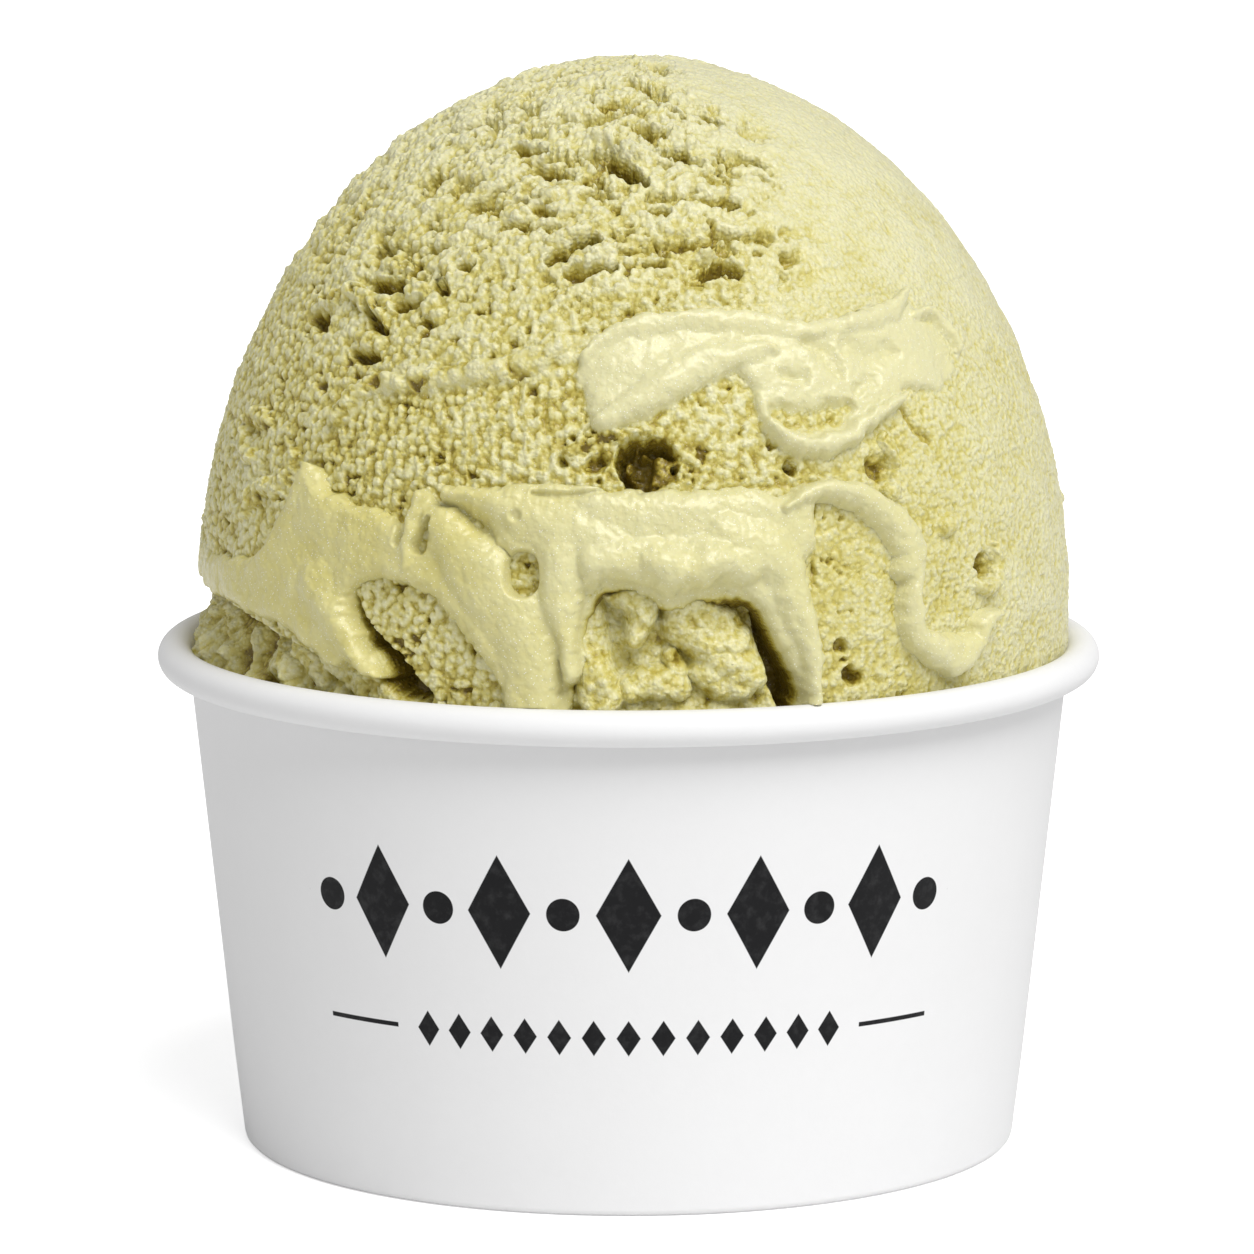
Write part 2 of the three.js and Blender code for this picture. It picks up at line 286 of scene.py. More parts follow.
PRINT_HEIGHT = 28.9 * MM
PRINT_HALF_WIDTH = 33.2 * MM
PRINT_PITCH = 6.03 * MM
LOZENGE_HALF_WIDTH = 3.0 * MM
LOZENGE_HALF_HEIGHT = 5.4 * MM
DOT_RADIUS = 1.55 * MM
LINE_HEIGHT = 17.2 * MM
LINE_HALF_WIDTH = 31.5 * MM
SMALL_PITCH = 3.3 * MM
SMALL_COUNT = 6  # on each side of the middle one
SMALL_HALF_WIDTH = 1.15 * MM
SMALL_HALF_HEIGHT = 1.7 * MM
RULE_START = 23.2 * MM
RULE_HALF_THICKNESS = 0.22 * MM
INK_EDGE = 0.06 * MM


def printed_frieze(place, fibres):
    """A row of lozenges and dots over a row of small lozenges that stands between two thin rules."""
    x = place.make("ShaderNodeSeparateXYZ", [place])
    y = Node(place.tree, x.socket.node.outputs[1])
    z = Node(place.tree, x.socket.node.outputs[2])
    across = place.maths("ARCTAN2", x, 0 - y) * wall_outer(PRINT_HEIGHT)

    def lozenge(u, v, half_width, half_height):
        reach = u.size() * (1 / half_width) + v.size() * (1 / half_height)
        return ((1 - reach) * (half_width / INK_EDGE) * 0.7 + 0.5).clamped()

    up = z - PRINT_HEIGHT
    index = place.maths("ROUND", across / PRINT_PITCH)
    local = across - index * PRINT_PITCH
    odd = place.maths("PINGPONG", index, 1)
    from_dot = place.make("ShaderNodeCombineXYZ", [local, up, 0])
    from_dot = place.make("ShaderNodeVectorMath", {0: from_dot}, output="Value", operation="LENGTH")
    round_dot = from_dot.within(DOT_RADIUS, INK_EDGE)
    big = lozenge(local, up, LOZENGE_HALF_WIDTH, LOZENGE_HALF_HEIGHT)
    row = (odd * round_dot + (1 - odd) * big) * across.within(PRINT_HALF_WIDTH, INK_EDGE)

    low = z - LINE_HEIGHT
    small_index = place.maths("ROUND", across / SMALL_PITCH)
    small_local = across - small_index * SMALL_PITCH
    small = lozenge(small_local, low, SMALL_HALF_WIDTH, SMALL_HALF_HEIGHT)
    small = small * small_index.within(SMALL_COUNT + 0.5, 0.1)
    rule = low.within(RULE_HALF_THICKNESS, INK_EDGE) * across.within(LINE_HALF_WIDTH, INK_EDGE)
    rule = rule * (1 - across.within(RULE_START, INK_EDGE))
    ink = row.at_least(small).at_least(rule)
    worn = (fibres * 3 - 0.55).clamped() * 0.03 + 0.97
    front = place.maths("GREATER_THAN", 0 - y, 0)
    return ink * worn * front


give_material(cup_wall, board_material("printed_cup_board", printed_frieze))
ride_on_cup(cup_wall, "paper_wall", "cup_wall")

# ---------------------------------------------------------------------------
# Side seam: the sleeve's end lapped over its start, pressed thin and glued, at the back, where it
# stands out from the wall as a strip of board a few millimetres wide.
# ---------------------------------------------------------------------------
SEAM_HALF_ANGLE = math.radians(5.5)
SEAM_THICKNESS = 0.22 * MM
SEAM_FOOT = 0.9 * MM
SEAM_TOP = 44.7 * MM
SEAM_SIDES = 720
SEAM_EDGE = 0.07 * MM

bpy.ops.mesh.primitive_cone_add(
    vertices=SEAM_SIDES,
    end_fill_type="NOTHING",
    radius1=wall_outer(SEAM_FOOT) + SEAM_THICKNESS / 2,
    radius2=wall_outer(SEAM_TOP) + SEAM_THICKNESS / 2,
    depth=SEAM_TOP - SEAM_FOOT,
    location=(0, 0, (SEAM_TOP + SEAM_FOOT) / 2),
)
side_seam = bpy.context.object
side_seam.name = "cup_side_seam"
bpy.ops.object.transform_apply(location=True, rotation=True, scale=True)
bpy.ops.object.mode_set(mode="EDIT")
bpy.ops.mesh.select_mode(type="FACE")
bpy.ops.object.mode_set(mode="OBJECT")
for face in side_seam.data.polygons:
    turn = math.atan2(face.center.x, face.center.y)
    face.select = abs(turn) > SEAM_HALF_ANGLE
bpy.ops.object.mode_set(mode="EDIT")
bpy.ops.mesh.delete(type="FACE")
bpy.ops.mesh.select_mode(type="VERT")
finish_sheet(side_seam, SEAM_THICKNESS, SEAM_EDGE)
give_material(side_seam, board_material("seam_board"))
ride_on_cup(side_seam, "paper_wall")

# ---------------------------------------------------------------------------
# Cup floor: a disc of the same board, pressed so that its edge turns down into the wall's hem, which
# is glued to it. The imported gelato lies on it.
# ---------------------------------------------------------------------------
FLOOR_HEIGHT = 6.4 * MM - BOARD / 2
FLOOR_GAP = 0.3 * MM  # to the wall
FLOOR_BORDER = 1.5 * MM
SKIRT_FOOT = 0.8 * MM
SKIRT_BEND = 0.7 * MM

skirt_radius = wall_outer(FLOOR_HEIGHT) - BOARD - FLOOR_GAP - BOARD / 2
floor_path = [(skirt_radius - WALL_LEAN * (FLOOR_HEIGHT - SKIRT_FOOT), SKIRT_FOOT)]
for step in range(0, 7):
    bend = math.radians(15 * step)
    floor_path.append((skirt_radius - SKIRT_BEND * (1 - math.cos(bend)),
                       FLOOR_HEIGHT - SKIRT_BEND * (1 - math.sin(bend))))
cup_floor = turned_sheet("cup_floor_board", floor_path)
bpy.ops.mesh.edge_face_add()
bpy.ops.mesh.inset(thickness=FLOOR_BORDER)
finish_sheet(cup_floor, BOARD, CUT_EDGE)
give_material(cup_floor, board_material("floor_board"))
ride_on_cup(cup_floor, "paper_floor", "cup_floor")

# ---------------------------------------------------------------------------
# Gelato scoop: one tall ball of pale green gelato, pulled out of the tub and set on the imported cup.
# Its skin is beaded where it tore and smooth where the spatula pressed it. It is made in four bands,
# one above the other, with their edges tucked under each other.
# ---------------------------------------------------------------------------
# Lengths are millimetres here. A place is an azimuth, 0 at the front and 90 at the right, and a height.
SCOOP_CENTRE_X = 0.45
SCOOP_EQUATOR = 52
SCOOP_RADIUS = 41.4
SCOOP_RISE = 51.6
SCOOP_DROP = 7.2
UNDERSIDE_POWER = 8
COLUMNS = 1280
CROWDING = 0.42  # how much closer the columns stand at the front than on average
BODY_TRIANGLES = 190000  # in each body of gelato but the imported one
TOUCH = 0.05  # how far the gelato presses into the wall's face
BARE = -1.6  # the level of a smear where there is none
THERE = -1.2  # a smear's level above which there is one


def smooth_step(value, start, end):
    share = np.clip((value - start) / (end - start), 0, 1)
    return share * share * (3 - 2 * share)


def scatter(cells, seed):
    """Three fixed uneven numbers between 0 and 1 for each whole-numbered cell."""
    whole = cells.astype(np.int64)
    mixed = (whole[:, 0] * 73856093) ^ (whole[:, 1] * 19349663) ^ (whole[:, 2] * 83492791)
    mixed = (mixed ^ (seed * 26544357)) & 0xFFFFFFFF
    mixed = ((mixed ^ (mixed >> 15)) * 2246822519) & 0xFFFFFFFF
    mixed = ((mixed ^ (mixed >> 13)) * 3266489917) & 0xFFFFFFFF
    mixed ^= mixed >> 16
    return np.stack((mixed & 1023, (mixed >> 10) & 1023, (mixed >> 20) & 1023), axis=1) / 1023


def drift(points, size, seed):
    """Smooth uneven values between -1 and 1, changing over the size."""
    scaled = points / size
    base = np.floor(scaled)
    share = scaled - base
    share = share * share * (3 - 2 * share)
    total = np.zeros(len(points))
    for corner in product((0, 1), repeat=3):
        weight = np.prod(np.where(corner, share, 1 - share), axis=1)
        total += weight * scatter(base + corner, seed)[:, 0]
    return total * 2 - 1


def turn_between(azimuth, other):
    return (azimuth - other + 180) % 360 - 180


def scoop_radius_at(height):
    share = np.clip((height - SCOOP_EQUATOR) / SCOOP_RISE, 0, 1)
    return SCOOP_RADIUS * np.sqrt(np.maximum(1 - share * share, 1e-8))


def on_scoop(azimuth, height):
    """The places on the plain scoop at these azimuths and heights."""
    turn = np.radians(azimuth)
    radius = scoop_radius_at(height)
    x, y = SCOOP_CENTRE_X + radius * np.sin(turn), -radius * np.cos(turn)
    return np.stack((x, y, height + 0 * turn), axis=-1)


class Skin:
    """The points of a gelato surface, as azimuths and heights, with their places on the plain scoop."""

    def __init__(self, azimuth, height):
        self.azimuth = azimuth
        self.height = height
        self.place = on_scoop(azimuth, height)

    def part(self, chosen):
        some = Skin.__new__(Skin)
        some.azimuth = self.azimuth[chosen]
        some.height = self.height[chosen]
        some.place = self.place[chosen]
        return some

    def wavering(self, amount, size, seed):
        """The same skin with its points shifted unevenly, which makes outlines laid on it uneven."""
        sideways = amount * drift(self.place, size, seed) / np.maximum(scoop_radius_at(self.height), 3)
        up = amount * drift(self.place, size, seed + 1)
        return Skin(self.azimuth + np.degrees(sideways), self.height + up)

    def sunk_by(self, level):
        """The places themselves, moved in or out by the level."""
        centre = np.array((SCOOP_CENTRE_X, 0, SCOOP_EQUATOR))
        arm = self.place - centre
        return centre + arm * (1 + level / np.linalg.norm(arm, axis=1))[:, None]

    def near(self, path, margin):
        """Which points lie within the path's own span of azimuth and height, and a margin round it."""
        middle = (path[:, 0].min() + path[:, 0].max()) / 2
        half = (path[:, 0].max() - path[:, 0].min()) / 2
        wide = np.degrees(margin / np.maximum(scoop_radius_at(self.height), 3))
        sideways = np.abs(turn_between(self.azimuth, middle)) < half + wide
        low, high = path[:, 1].min() - margin, path[:, 1].max() + margin
        return sideways & (self.height > low) & (self.height < high)


def smooth_path(points, closed=False, steps=4):
    """The points joined by a smooth curve through all of them."""
    points = np.array(points, dtype=float)
    if len(points) == 1:
        return np.vstack((points, points + (0.01, 0)))
    count = len(points)
    if closed:
        ends = (points[-1:], points, points[:2])
    else:
        ends = (2 * points[:1] - points[1:2], points, 2 * points[-1:] - points[-2:-1])
    padded = np.vstack(ends)
    curve = []
    for i in range(count if closed else count - 1):
        a, b, c, d = padded[i:i + 4]
        for step in range(steps):
            t = step / steps
            bend = 2 * a - 5 * b + 4 * c - d
            curve.append(0.5 * (2 * b + (c - a) * t + bend * t ** 2 + (3 * b - a - 3 * c + d) * t ** 3))
    if not closed:
        curve.append(points[-1])
    return np.array(curve)


def along_path(skin, path, closed=False):
    """Each point's distance to the path, over the scoop, and how far along it that is, from 0 to 1."""
    line = on_scoop(path[:, 0], path[:, 1])
    if closed:
        line = np.vstack((line, line[:1]))
    lengths = np.linalg.norm(np.diff(line, axis=0), axis=1)
    nearest = np.full(len(skin.height), np.inf)
    share = np.zeros(len(skin.height))
    passed = 0.0
    for start, end, length in zip(line[:-1], line[1:], lengths):
        span = end - start
        t = np.clip((skin.place - start) @ span / max(length * length, 1e-9), 0, 1)
        away = skin.place - start - t[:, None] * span
        away = np.sqrt(np.einsum("ij,ij->i", away, away))
        closer = away < nearest
        nearest = np.where(closer, away, nearest)
        share = np.where(closer, (passed + t * length) / lengths.sum(), share)
        passed += length
    return nearest, share


def inside_outline(skin, outline):
    inside = np.zeros(len(skin.height), dtype=bool)
    middle = (outline[:, 0].min() + outline[:, 0].max()) / 2
    x = turn_between(skin.azimuth, middle)
    y = skin.height
    ring = np.column_stack((outline[:, 0] - middle, outline[:, 1]))
    for (ax, ay), (bx, by) in zip(ring, np.roll(ring, -1, axis=0)):
        if ay != by:
            crosses = (ay > y) != (by > y)
            inside ^= crosses & (x < (bx - ax) * (y - ay) / (by - ay) + ax)
    return inside


def merged(first, second, softness):
    """The higher of two surfaces, with their join softened."""
    share = np.clip(0.5 + 0.5 * (second - first) / softness, 0, 1)
    return first * (1 - share) + second * share + softness * share * (1 - share)


def ribbon(skin, level, path, half_widths, thickness, softness=0.5):
    """Lays a rounded ribbon of gelato along the path over the level so far."""
    curve = smooth_path(path)
    chosen = skin.near(curve, max(half_widths) + 1.5)
    away, share = along_path(skin.part(chosen), curve)
    ratio = away / np.interp(share, np.linspace(0, 1, len(half_widths)), half_widths)
    crown = np.sqrt(np.maximum(1 - ratio * ratio, 0))
    raised = np.maximum(thickness * crown - 1.5 * np.maximum(ratio - 1, 0), BARE)
    level = level.copy()
    level[chosen] = merged(level[chosen], raised, softness)
    return level


def sheet_of_gelato(skin, level, outline, thickness, lip, softness=0.4, fade=None):
    """Lays a sheet of gelato inside the outline: as thick as this past its lip, or thinned by a fade."""
    curve = smooth_path(outline, closed=True, steps=3)
    chosen = skin.near(curve, 3)
    some = skin.part(chosen)
    away, _ = along_path(some, curve, closed=True)
    inside = inside_outline(some, curve)
    depth = np.where(inside, np.minimum(away / lip, 1), 0)
    uneven = 1 + 0.3 * drift(some.place, 5.5, 91) + 0.12 * drift(some.place, 2.2, 92)
    body = thickness * uneven * np.sqrt(1 - (1 - depth) ** 2)
    if fade is not None:
        body = body * fade(some)
    raised = np.where(inside, body, BARE * np.minimum(away / 0.7, 1))
    level = level.copy()
    level[chosen] = merged(level[chosen], raised, softness)
    return level


def groove(skin, level, path, half_widths, depth, wall=0.75):
    """Presses a rounded groove along the path. A path of one point is a pit."""
    curve = smooth_path(path)
    chosen = skin.near(curve, max(half_widths) + 0.5)
    away, share = along_path(skin.part(chosen), curve)
    half_width = np.interp(share, np.linspace(0, 1, len(half_widths)), half_widths)
    level = level.copy()
    level[chosen] -= depth * smooth_step(1 + wall / 3 - away / half_width, 0, wall)
    return level


# Open places under the smears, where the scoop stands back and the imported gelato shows.
# Each is an arch: azimuth, half width in degrees, height of its crown, fall to its sides, depth
ARCHES = [
    (-90, 50, 55.5, 5, 4.6),
    (7, 14.8, 61.8, 4.5, 4.8),
    (112, 16, 57, 8, 3.6),
    (158, 20, 58, 9, 4.4),
    (-154, 15, 57, 8, 4.0),
]


def arch_depth(skin):
    sunk = np.zeros(len(skin.height))
    for azimuth, half_width, crown, fall, depth in ARCHES:
        across = np.abs(turn_between(skin.azimuth, azimuth)) / half_width
        roof = crown - fall * across * across
        within = smooth_step(1.08 - across, 0, 0.12)
        sunk = np.maximum(sunk, depth * within * smooth_step(roof - skin.height, 0, 1.2))
    return sunk


def room_at(height):
    """The widest that gelato may be at a height, inside the wall and the rolled rim."""
    wall = (wall_outer(height * MM) - BOARD) / MM + TOUCH
    clear = ROLL_RADIUS / MM - TOUCH
    above = height - ROLL_HEIGHT / MM
    beside = ROLL_CENTRE / MM - np.sqrt(np.maximum(clear * clear - above * above, 0))
    return np.where(above <= 0, wall, np.where(above < clear, np.minimum(beside, wall + 9), 99))


def crowded_azimuth(turn):
    """Azimuth in degrees of a column, crowded to the front from its even turn in radians."""
    return np.degrees(turn - CROWDING * np.sin(turn))


def tilts_through(*bands):
    """Elevations of rows in degrees, from bands of (rows, from, to)."""
    tilts = [bands[0][1]]
    for rows, start, end in bands:
        tilts += [start + (end - start) * (row + 1) / rows for row in range(rows)]
    return np.array(tilts)


def tilt_at(height):
    """Elevation in degrees of the plain scoop's skin at a height above its equator."""
    share = (height - SCOOP_EQUATOR) / SCOOP_RISE
    return math.degrees(math.atan2(SCOOP_RISE * share, SCOOP_RADIUS * math.sqrt(1 - share * share)))


def plain_reach(tilt):
    """How far the plain scoop reaches from its centre at an elevation in radians."""
    out, up = np.cos(tilt), np.sin(tilt)
    upper = 1 / np.hypot(out / SCOOP_RADIUS, up / SCOOP_RISE)
    lower = (out / SCOOP_RADIUS) ** UNDERSIDE_POWER + (np.abs(up) / SCOOP_DROP) ** UNDERSIDE_POWER
    return np.where(up >= 0, upper, lower ** (-1 / UNDERSIDE_POWER))


def beads(points, size, seed, radius):
    """Height, from 0 in the gaps to 1, of scattered small balls that have melted together."""
    scaled = points / size
    base = np.floor(scaled)
    total = np.zeros(len(points))
    for shift in product((-1, 0, 1), repeat=3):
        cell = base + shift
        random = scatter(cell, seed)
        away = scaled - (cell + 0.12 + 0.76 * random)
        total += (0.35 + random[:, 0]) * np.exp(-12 * np.einsum("ij,ij->i", away, away))
    near = -np.log(np.maximum(total, 1e-9)) / 12
    return np.sqrt(np.clip(1 - near / radius ** 2, 0, 1.15) / 1.15)


def torn_skin(skin):
    """Where the skin is beaded: 1 on the left and near the top, 0 on the right, which was pressed."""
    edge = skin.azimuth + 14 * drift(skin.place, 7, 4)
    front = smooth_step(edge, 52, 8) * smooth_step(edge, -130, -100)
    back = 0.75 * smooth_step(np.abs(turn_between(skin.azimuth, 170)), 75, 45)
    return np.maximum(front, back)


# Long furrows torn in the skin near the top: a path, half widths and a depth
FURROWS = [
    ([(-10.7, 96.2), (-6.3, 96.1), (-1.8, 95.3), (2.4, 94.5)], (0.5, 0.9, 0.9, 0.5), 2.6),
    ([(6.5, 96.7), (11.6, 96.6), (15.6, 95.8)], (0.4, 0.7, 0.5), 1.6),
    ([(-3, 99.1), (2.9, 98.7), (7.2, 98.1), (12, 98.4)], (0.4, 0.8, 0.8, 0.3), 1.4),
    ([(-33.5, 97.1), (-28.7, 96.7), (-23.5, 96.9)], (0.4, 0.7, 0.4), 1.3),
    ([(-25.5, 95.2), (-18.4, 94.9), (-14.6, 94.7)], (0.4, 0.8, 0.4), 1.2),
    ([(-11, 94.5), (-7.6, 94.4)], (0.4, 0.6), 1.1),
    ([(-15.4, 87.7), (-12.4, 88.3), (-9.8, 88.8), (-6.6, 89.4)], (0.5, 0.6, 0.5, 0.5), 2.2),
    ([(-11.8, 86.9), (-8.3, 86.5), (-5.7, 87.0), (-3, 87.4)], (0.4, 0.6, 0.5, 0.3), 1.3),
    ([(12.6, 86.6), (15.3, 87.1), (18.1, 86.5)], (0.6, 0.8, 0.6), 2.3),
    ([(-2.4, 88.4), (1, 88.7), (2.8, 88.6)], (0.3, 0.5, 0.3), 1.1),
    ([(2.2, 87.6), (4.9, 87.5)], (0.4, 0.5), 1.1),
    ([(5.5, 89.0), (8.4, 89.2), (11.8, 89.3), (16, 89.5)], (0.3, 0.6, 0.4, 0.3), 1.2),
    ([(4.2, 92.1), (6.9, 91.8)], (0.5, 0.5), 1.2),
    ([(8.1, 92.7), (11.5, 93.1), (16.4, 92.5), (21.8, 92.4)], (0.4, 0.4, 0.6, 0.5), 1.1),
    ([(-29, 91.6), (-24.1, 92.6)], (0.5, 0.5), 1.3),
    ([(-20, 91.8), (-17.2, 91.6)], (0.6, 0.6), 1.4),
    ([(-25.8, 90.3), (-21.3, 90.5)], (0.5, 0.5), 1.0),
    ([(23.6, 99.7), (27.4, 99.0)], (0.5, 0.4), 0.8),
    ([(9.8, 100.4), (13.5, 100.1), (16.5, 99.5)], (0.5, 0.8, 0.4), 1.1),
    ([(-6, 102.2), (4.6, 101.9), (14, 101.3)], (0.4, 0.7, 0.4), 0.8),
    ([(-17, 100.8), (-9.4, 100.5), (-4.6, 100.7), (6.4, 100.8)], (0.4, 0.7, 0.6, 0.3), 0.9),
    ([(15.6, 94.7), (18, 94.5), (22.1, 93.8)], (0.5, 0.6, 0.3), 1.0),
    ([(-48.5, 84.5), (-44.2, 84.7), (-41.2, 84.7)], (0.6, 1.0, 0.6), 2.0),
    ([(-60.4, 81), (-56.6, 80.7)], (0.8, 0.8), 1.6),
    ([(-46.8, 82.2), (-43.5, 81.2), (-42, 80.9)], (0.5, 0.8, 0.4), 1.6),
    ([(-40.8, 83.1), (-37, 83.4)], (0.5, 0.6), 1.5),
    ([(-35.6, 81.9), (-33, 81.7)], (0.5, 0.4), 1.1),
    ([(-46.6, 78.6), (-42.3, 78.3)], (0.5, 0.6), 1.5),
    ([(-34.9, 85.3), (-32.5, 84.6)], (0.5, 0.6), 1.4),
    ([(-31.5, 86.8), (-29.8, 87)], (0.4, 0.5), 1.2),
]

# Ridges and lumps that stand out of the ball: a path, half widths and a thickness
RIDGES = [
    ([(-45.5, 73.0), (-43.3, 75.0)], (0.9, 0.9), 1.2),
    ([(-56.2, 82.6), (-51.7, 83.7), (-47.4, 83.0), (-42.9, 81.7)], (0.7, 0.8, 0.9, 0.6), 1.0),
    ([(-42.5, 75.0), (-40.5, 76.0), (-37.7, 76.5), (-34.9, 76.2)], (0.7, 0.9, 0.9, 0.7), 1.0),
    ([(-33, 76.7), (-24.3, 77.7), (-16.5, 78.7), (-12, 80.3)], (1.0, 1.1, 1.3, 1.2), 0.9),
    ([(-68.6, 70.9), (-65.5, 71.6), (-62.4, 71.1)], (0.9, 0.9, 0.9), 0.8),
    ([(-68.5, 69.6), (-66.0, 67.9), (-64.0, 68.2)], (0.8, 0.8, 0.7), 0.8),
    ([(-56.0, 65.6), (-54.3, 67.4), (-53.0, 69.0)], (0.9, 1.1, 0.8), 0.7),
    ([(-63.5, 62.8), (-60.5, 64.9), (-57.8, 65.6)], (1.0, 1.2, 0.9), 0.9),
    ([(36.3, 71.6), (36.9, 69.2), (36.0, 66.6)], (0.6, 0.9, 1.0), 0.9),
    ([(-9.3, 71.0), (-4.7, 73.0), (-2.3, 72.7), (1.4, 72.9)], (0.6, 0.8, 0.8, 0.6), 0.8),
    ([(44.9, 63.2), (45.7, 63.3)], (1.0, 1.0), 1.0),
    ([(50.4, 57.2), (53.2, 57.2), (54.8, 59.0), (54.2, 60.8)], (0.7, 0.9, 0.9, 0.5), 1.1),
]

# Pits: a place or a path, half widths and a depth
PITS = [
    ([(21.4, 69.8)], (0.7,), 1.5),
    ([(28.9, 50.4)], (0.9,), 1.3),
    ([(27.2, 53.3)], (0.7,), 0.9),
    ([(34.4, 68.9), (35.4, 68.7)], (1.3, 1.3), 1.0),
    ([(51.6, 58.9)], (1.2,), 1.5),
    ([(-5.1, 70.4)], (0.9,), 1.0),
    ([(-9.4, 70.6)], (0.7,), 0.8),
    ([(40.9, 74.2), (42.5, 72.4), (45.1, 70.6)], (0.5, 0.7, 0.5), 0.5),
    ([(45, 55.8)], (3.6,), 0.25),
    ([(138, 73), (143, 73.6)], (1.9, 1.7), 2.8),
]
BUBBLE = ([(1.3, 70.4), (2.5, 70.4)], (2.5, 2.5), 3.6)

# The deep crack between the left smear's drip and the torn patch beside it
CRACK = ([(-38.9, 57.6), (-38.0, 55.3), (-35.9, 53.4), (-33.0, 51.2), (-30.5, 49.6), (-27.5, 48.6)],
         (0.5, 1.0, 1.1, 1.5, 1.5, 0.8), 5.0)

# The tongue: a smooth sheet pressed across the right shoulder, ending in a hollow lobe
TONGUE = [
    (-8.0, 78.9), (-6.3, 80.7), (-4.6, 81.6), (0.9, 82.8), (4.1, 82.6), (9.6, 83.0), (14.7, 83.1),
    (20.3, 82.5), (25.9, 81.8), (29.8, 81.6), (33.7, 81.8), (37.9, 82.2), (43.0, 82.1), (45.4, 82.9),
    (48.0, 83.7), (49.6, 83.0), (50.5, 81.0), (54.5, 79.6), (54.0, 76.5), (47.0, 75.2), (42.0, 75.6),
    (41.2, 74.6), (38.3, 73.6), (35.3, 72.7), (31.5, 71.3), (28.1, 70.7), (24.9, 70.3), (22.4, 70.7),
    (20.0, 71.9), (17.9, 73.4), (17.3, 74.9), (16.6, 76.9), (14.6, 78.1), (10.1, 77.3), (6.6, 76.1),
    (4.1, 74.9), (0.4, 73.9), (-2.4, 73.6), (-4.7, 73.0), (-6.0, 74.6), (-6.5, 76.2), (-7.9, 77.7),
]
TONGUE_RIDGES = [
    ([(-4.4, 73.7), (-1, 74.9), (4, 76.8), (9, 78.3), (15, 79.2), (21, 79.6)],
     (0.9, 1.3, 1.6, 1.6, 1.3, 0.6), 1.6),
    ([(-7.2, 79.2), (-4.4, 80.8), (2, 82.0), (9.6, 82.3), (18, 82.1), (26, 81.2), (34, 81.2)],
     (0.6, 0.9, 1.2, 1.2, 1.1, 1.0, 0.8), 1.25),
    ([(34, 81.2), (40, 81.6), (44.5, 82.2), (48.3, 83.4)], (0.9, 1.1, 1.1, 0.5), 1.6),
    ([(48.9, 81.4), (53.6, 81.7), (55.9, 80.3), (57.0, 78.4)], (0.5, 0.7, 0.8, 0.5), 0.9),
    ([(18.6, 73.3), (21.2, 71.8), (24.9, 71.1), (29, 71.5), (34.5, 73.2), (40.6, 74.7)],
     (0.7, 0.9, 1.1, 1.0, 0.8, 0.5), 1.8),
]
TONGUE_DENTS = [
    ([(20.3, 74.3), (23.5, 73.6), (28.5, 73.8), (31.5, 74.6)], (0.9, 1.5, 1.4, 0.7), 1.3),
    ([(26.2, 79.9), (28.7, 79.0), (30.3, 77.4)], (0.8, 1.4, 0.9), 0.8),
    ([(22.0, 77.6), (24.5, 77.2)], (0.6, 0.7), 0.6),
    ([(33.0, 75.8), (36.0, 76.4)], (0.6, 0.8), 0.5),
    ([(4.0, 79.9), (8.0, 80.9), (13, 81)], (0.9, 1.4, 0.8), 0.3),
    ([(33, 79.5), (36.5, 78.4), (41, 78.8)], (0.9, 1.5, 0.9), 0.6),
]


def tongue_fade(some):
    right = smooth_step(some.azimuth, 56, 44)
    left = 0.35 + 0.65 * smooth_step(some.azimuth, -9, -3)
    return np.maximum(right * left, 0.1)


# Sizes of the relief: the space between beads or grains, or between lumps and hollows
TORN_BEADS = (0.84, 0.48)
PRESSED_GRAINS = (0.6, 0.4)
LEDGE_KNOBS = 1.35
CLUMPS = (3.2, 1.5)
SHELVES = (1.25, 0.6)
PORES = 1.3
RIB_PITCH = 1.2


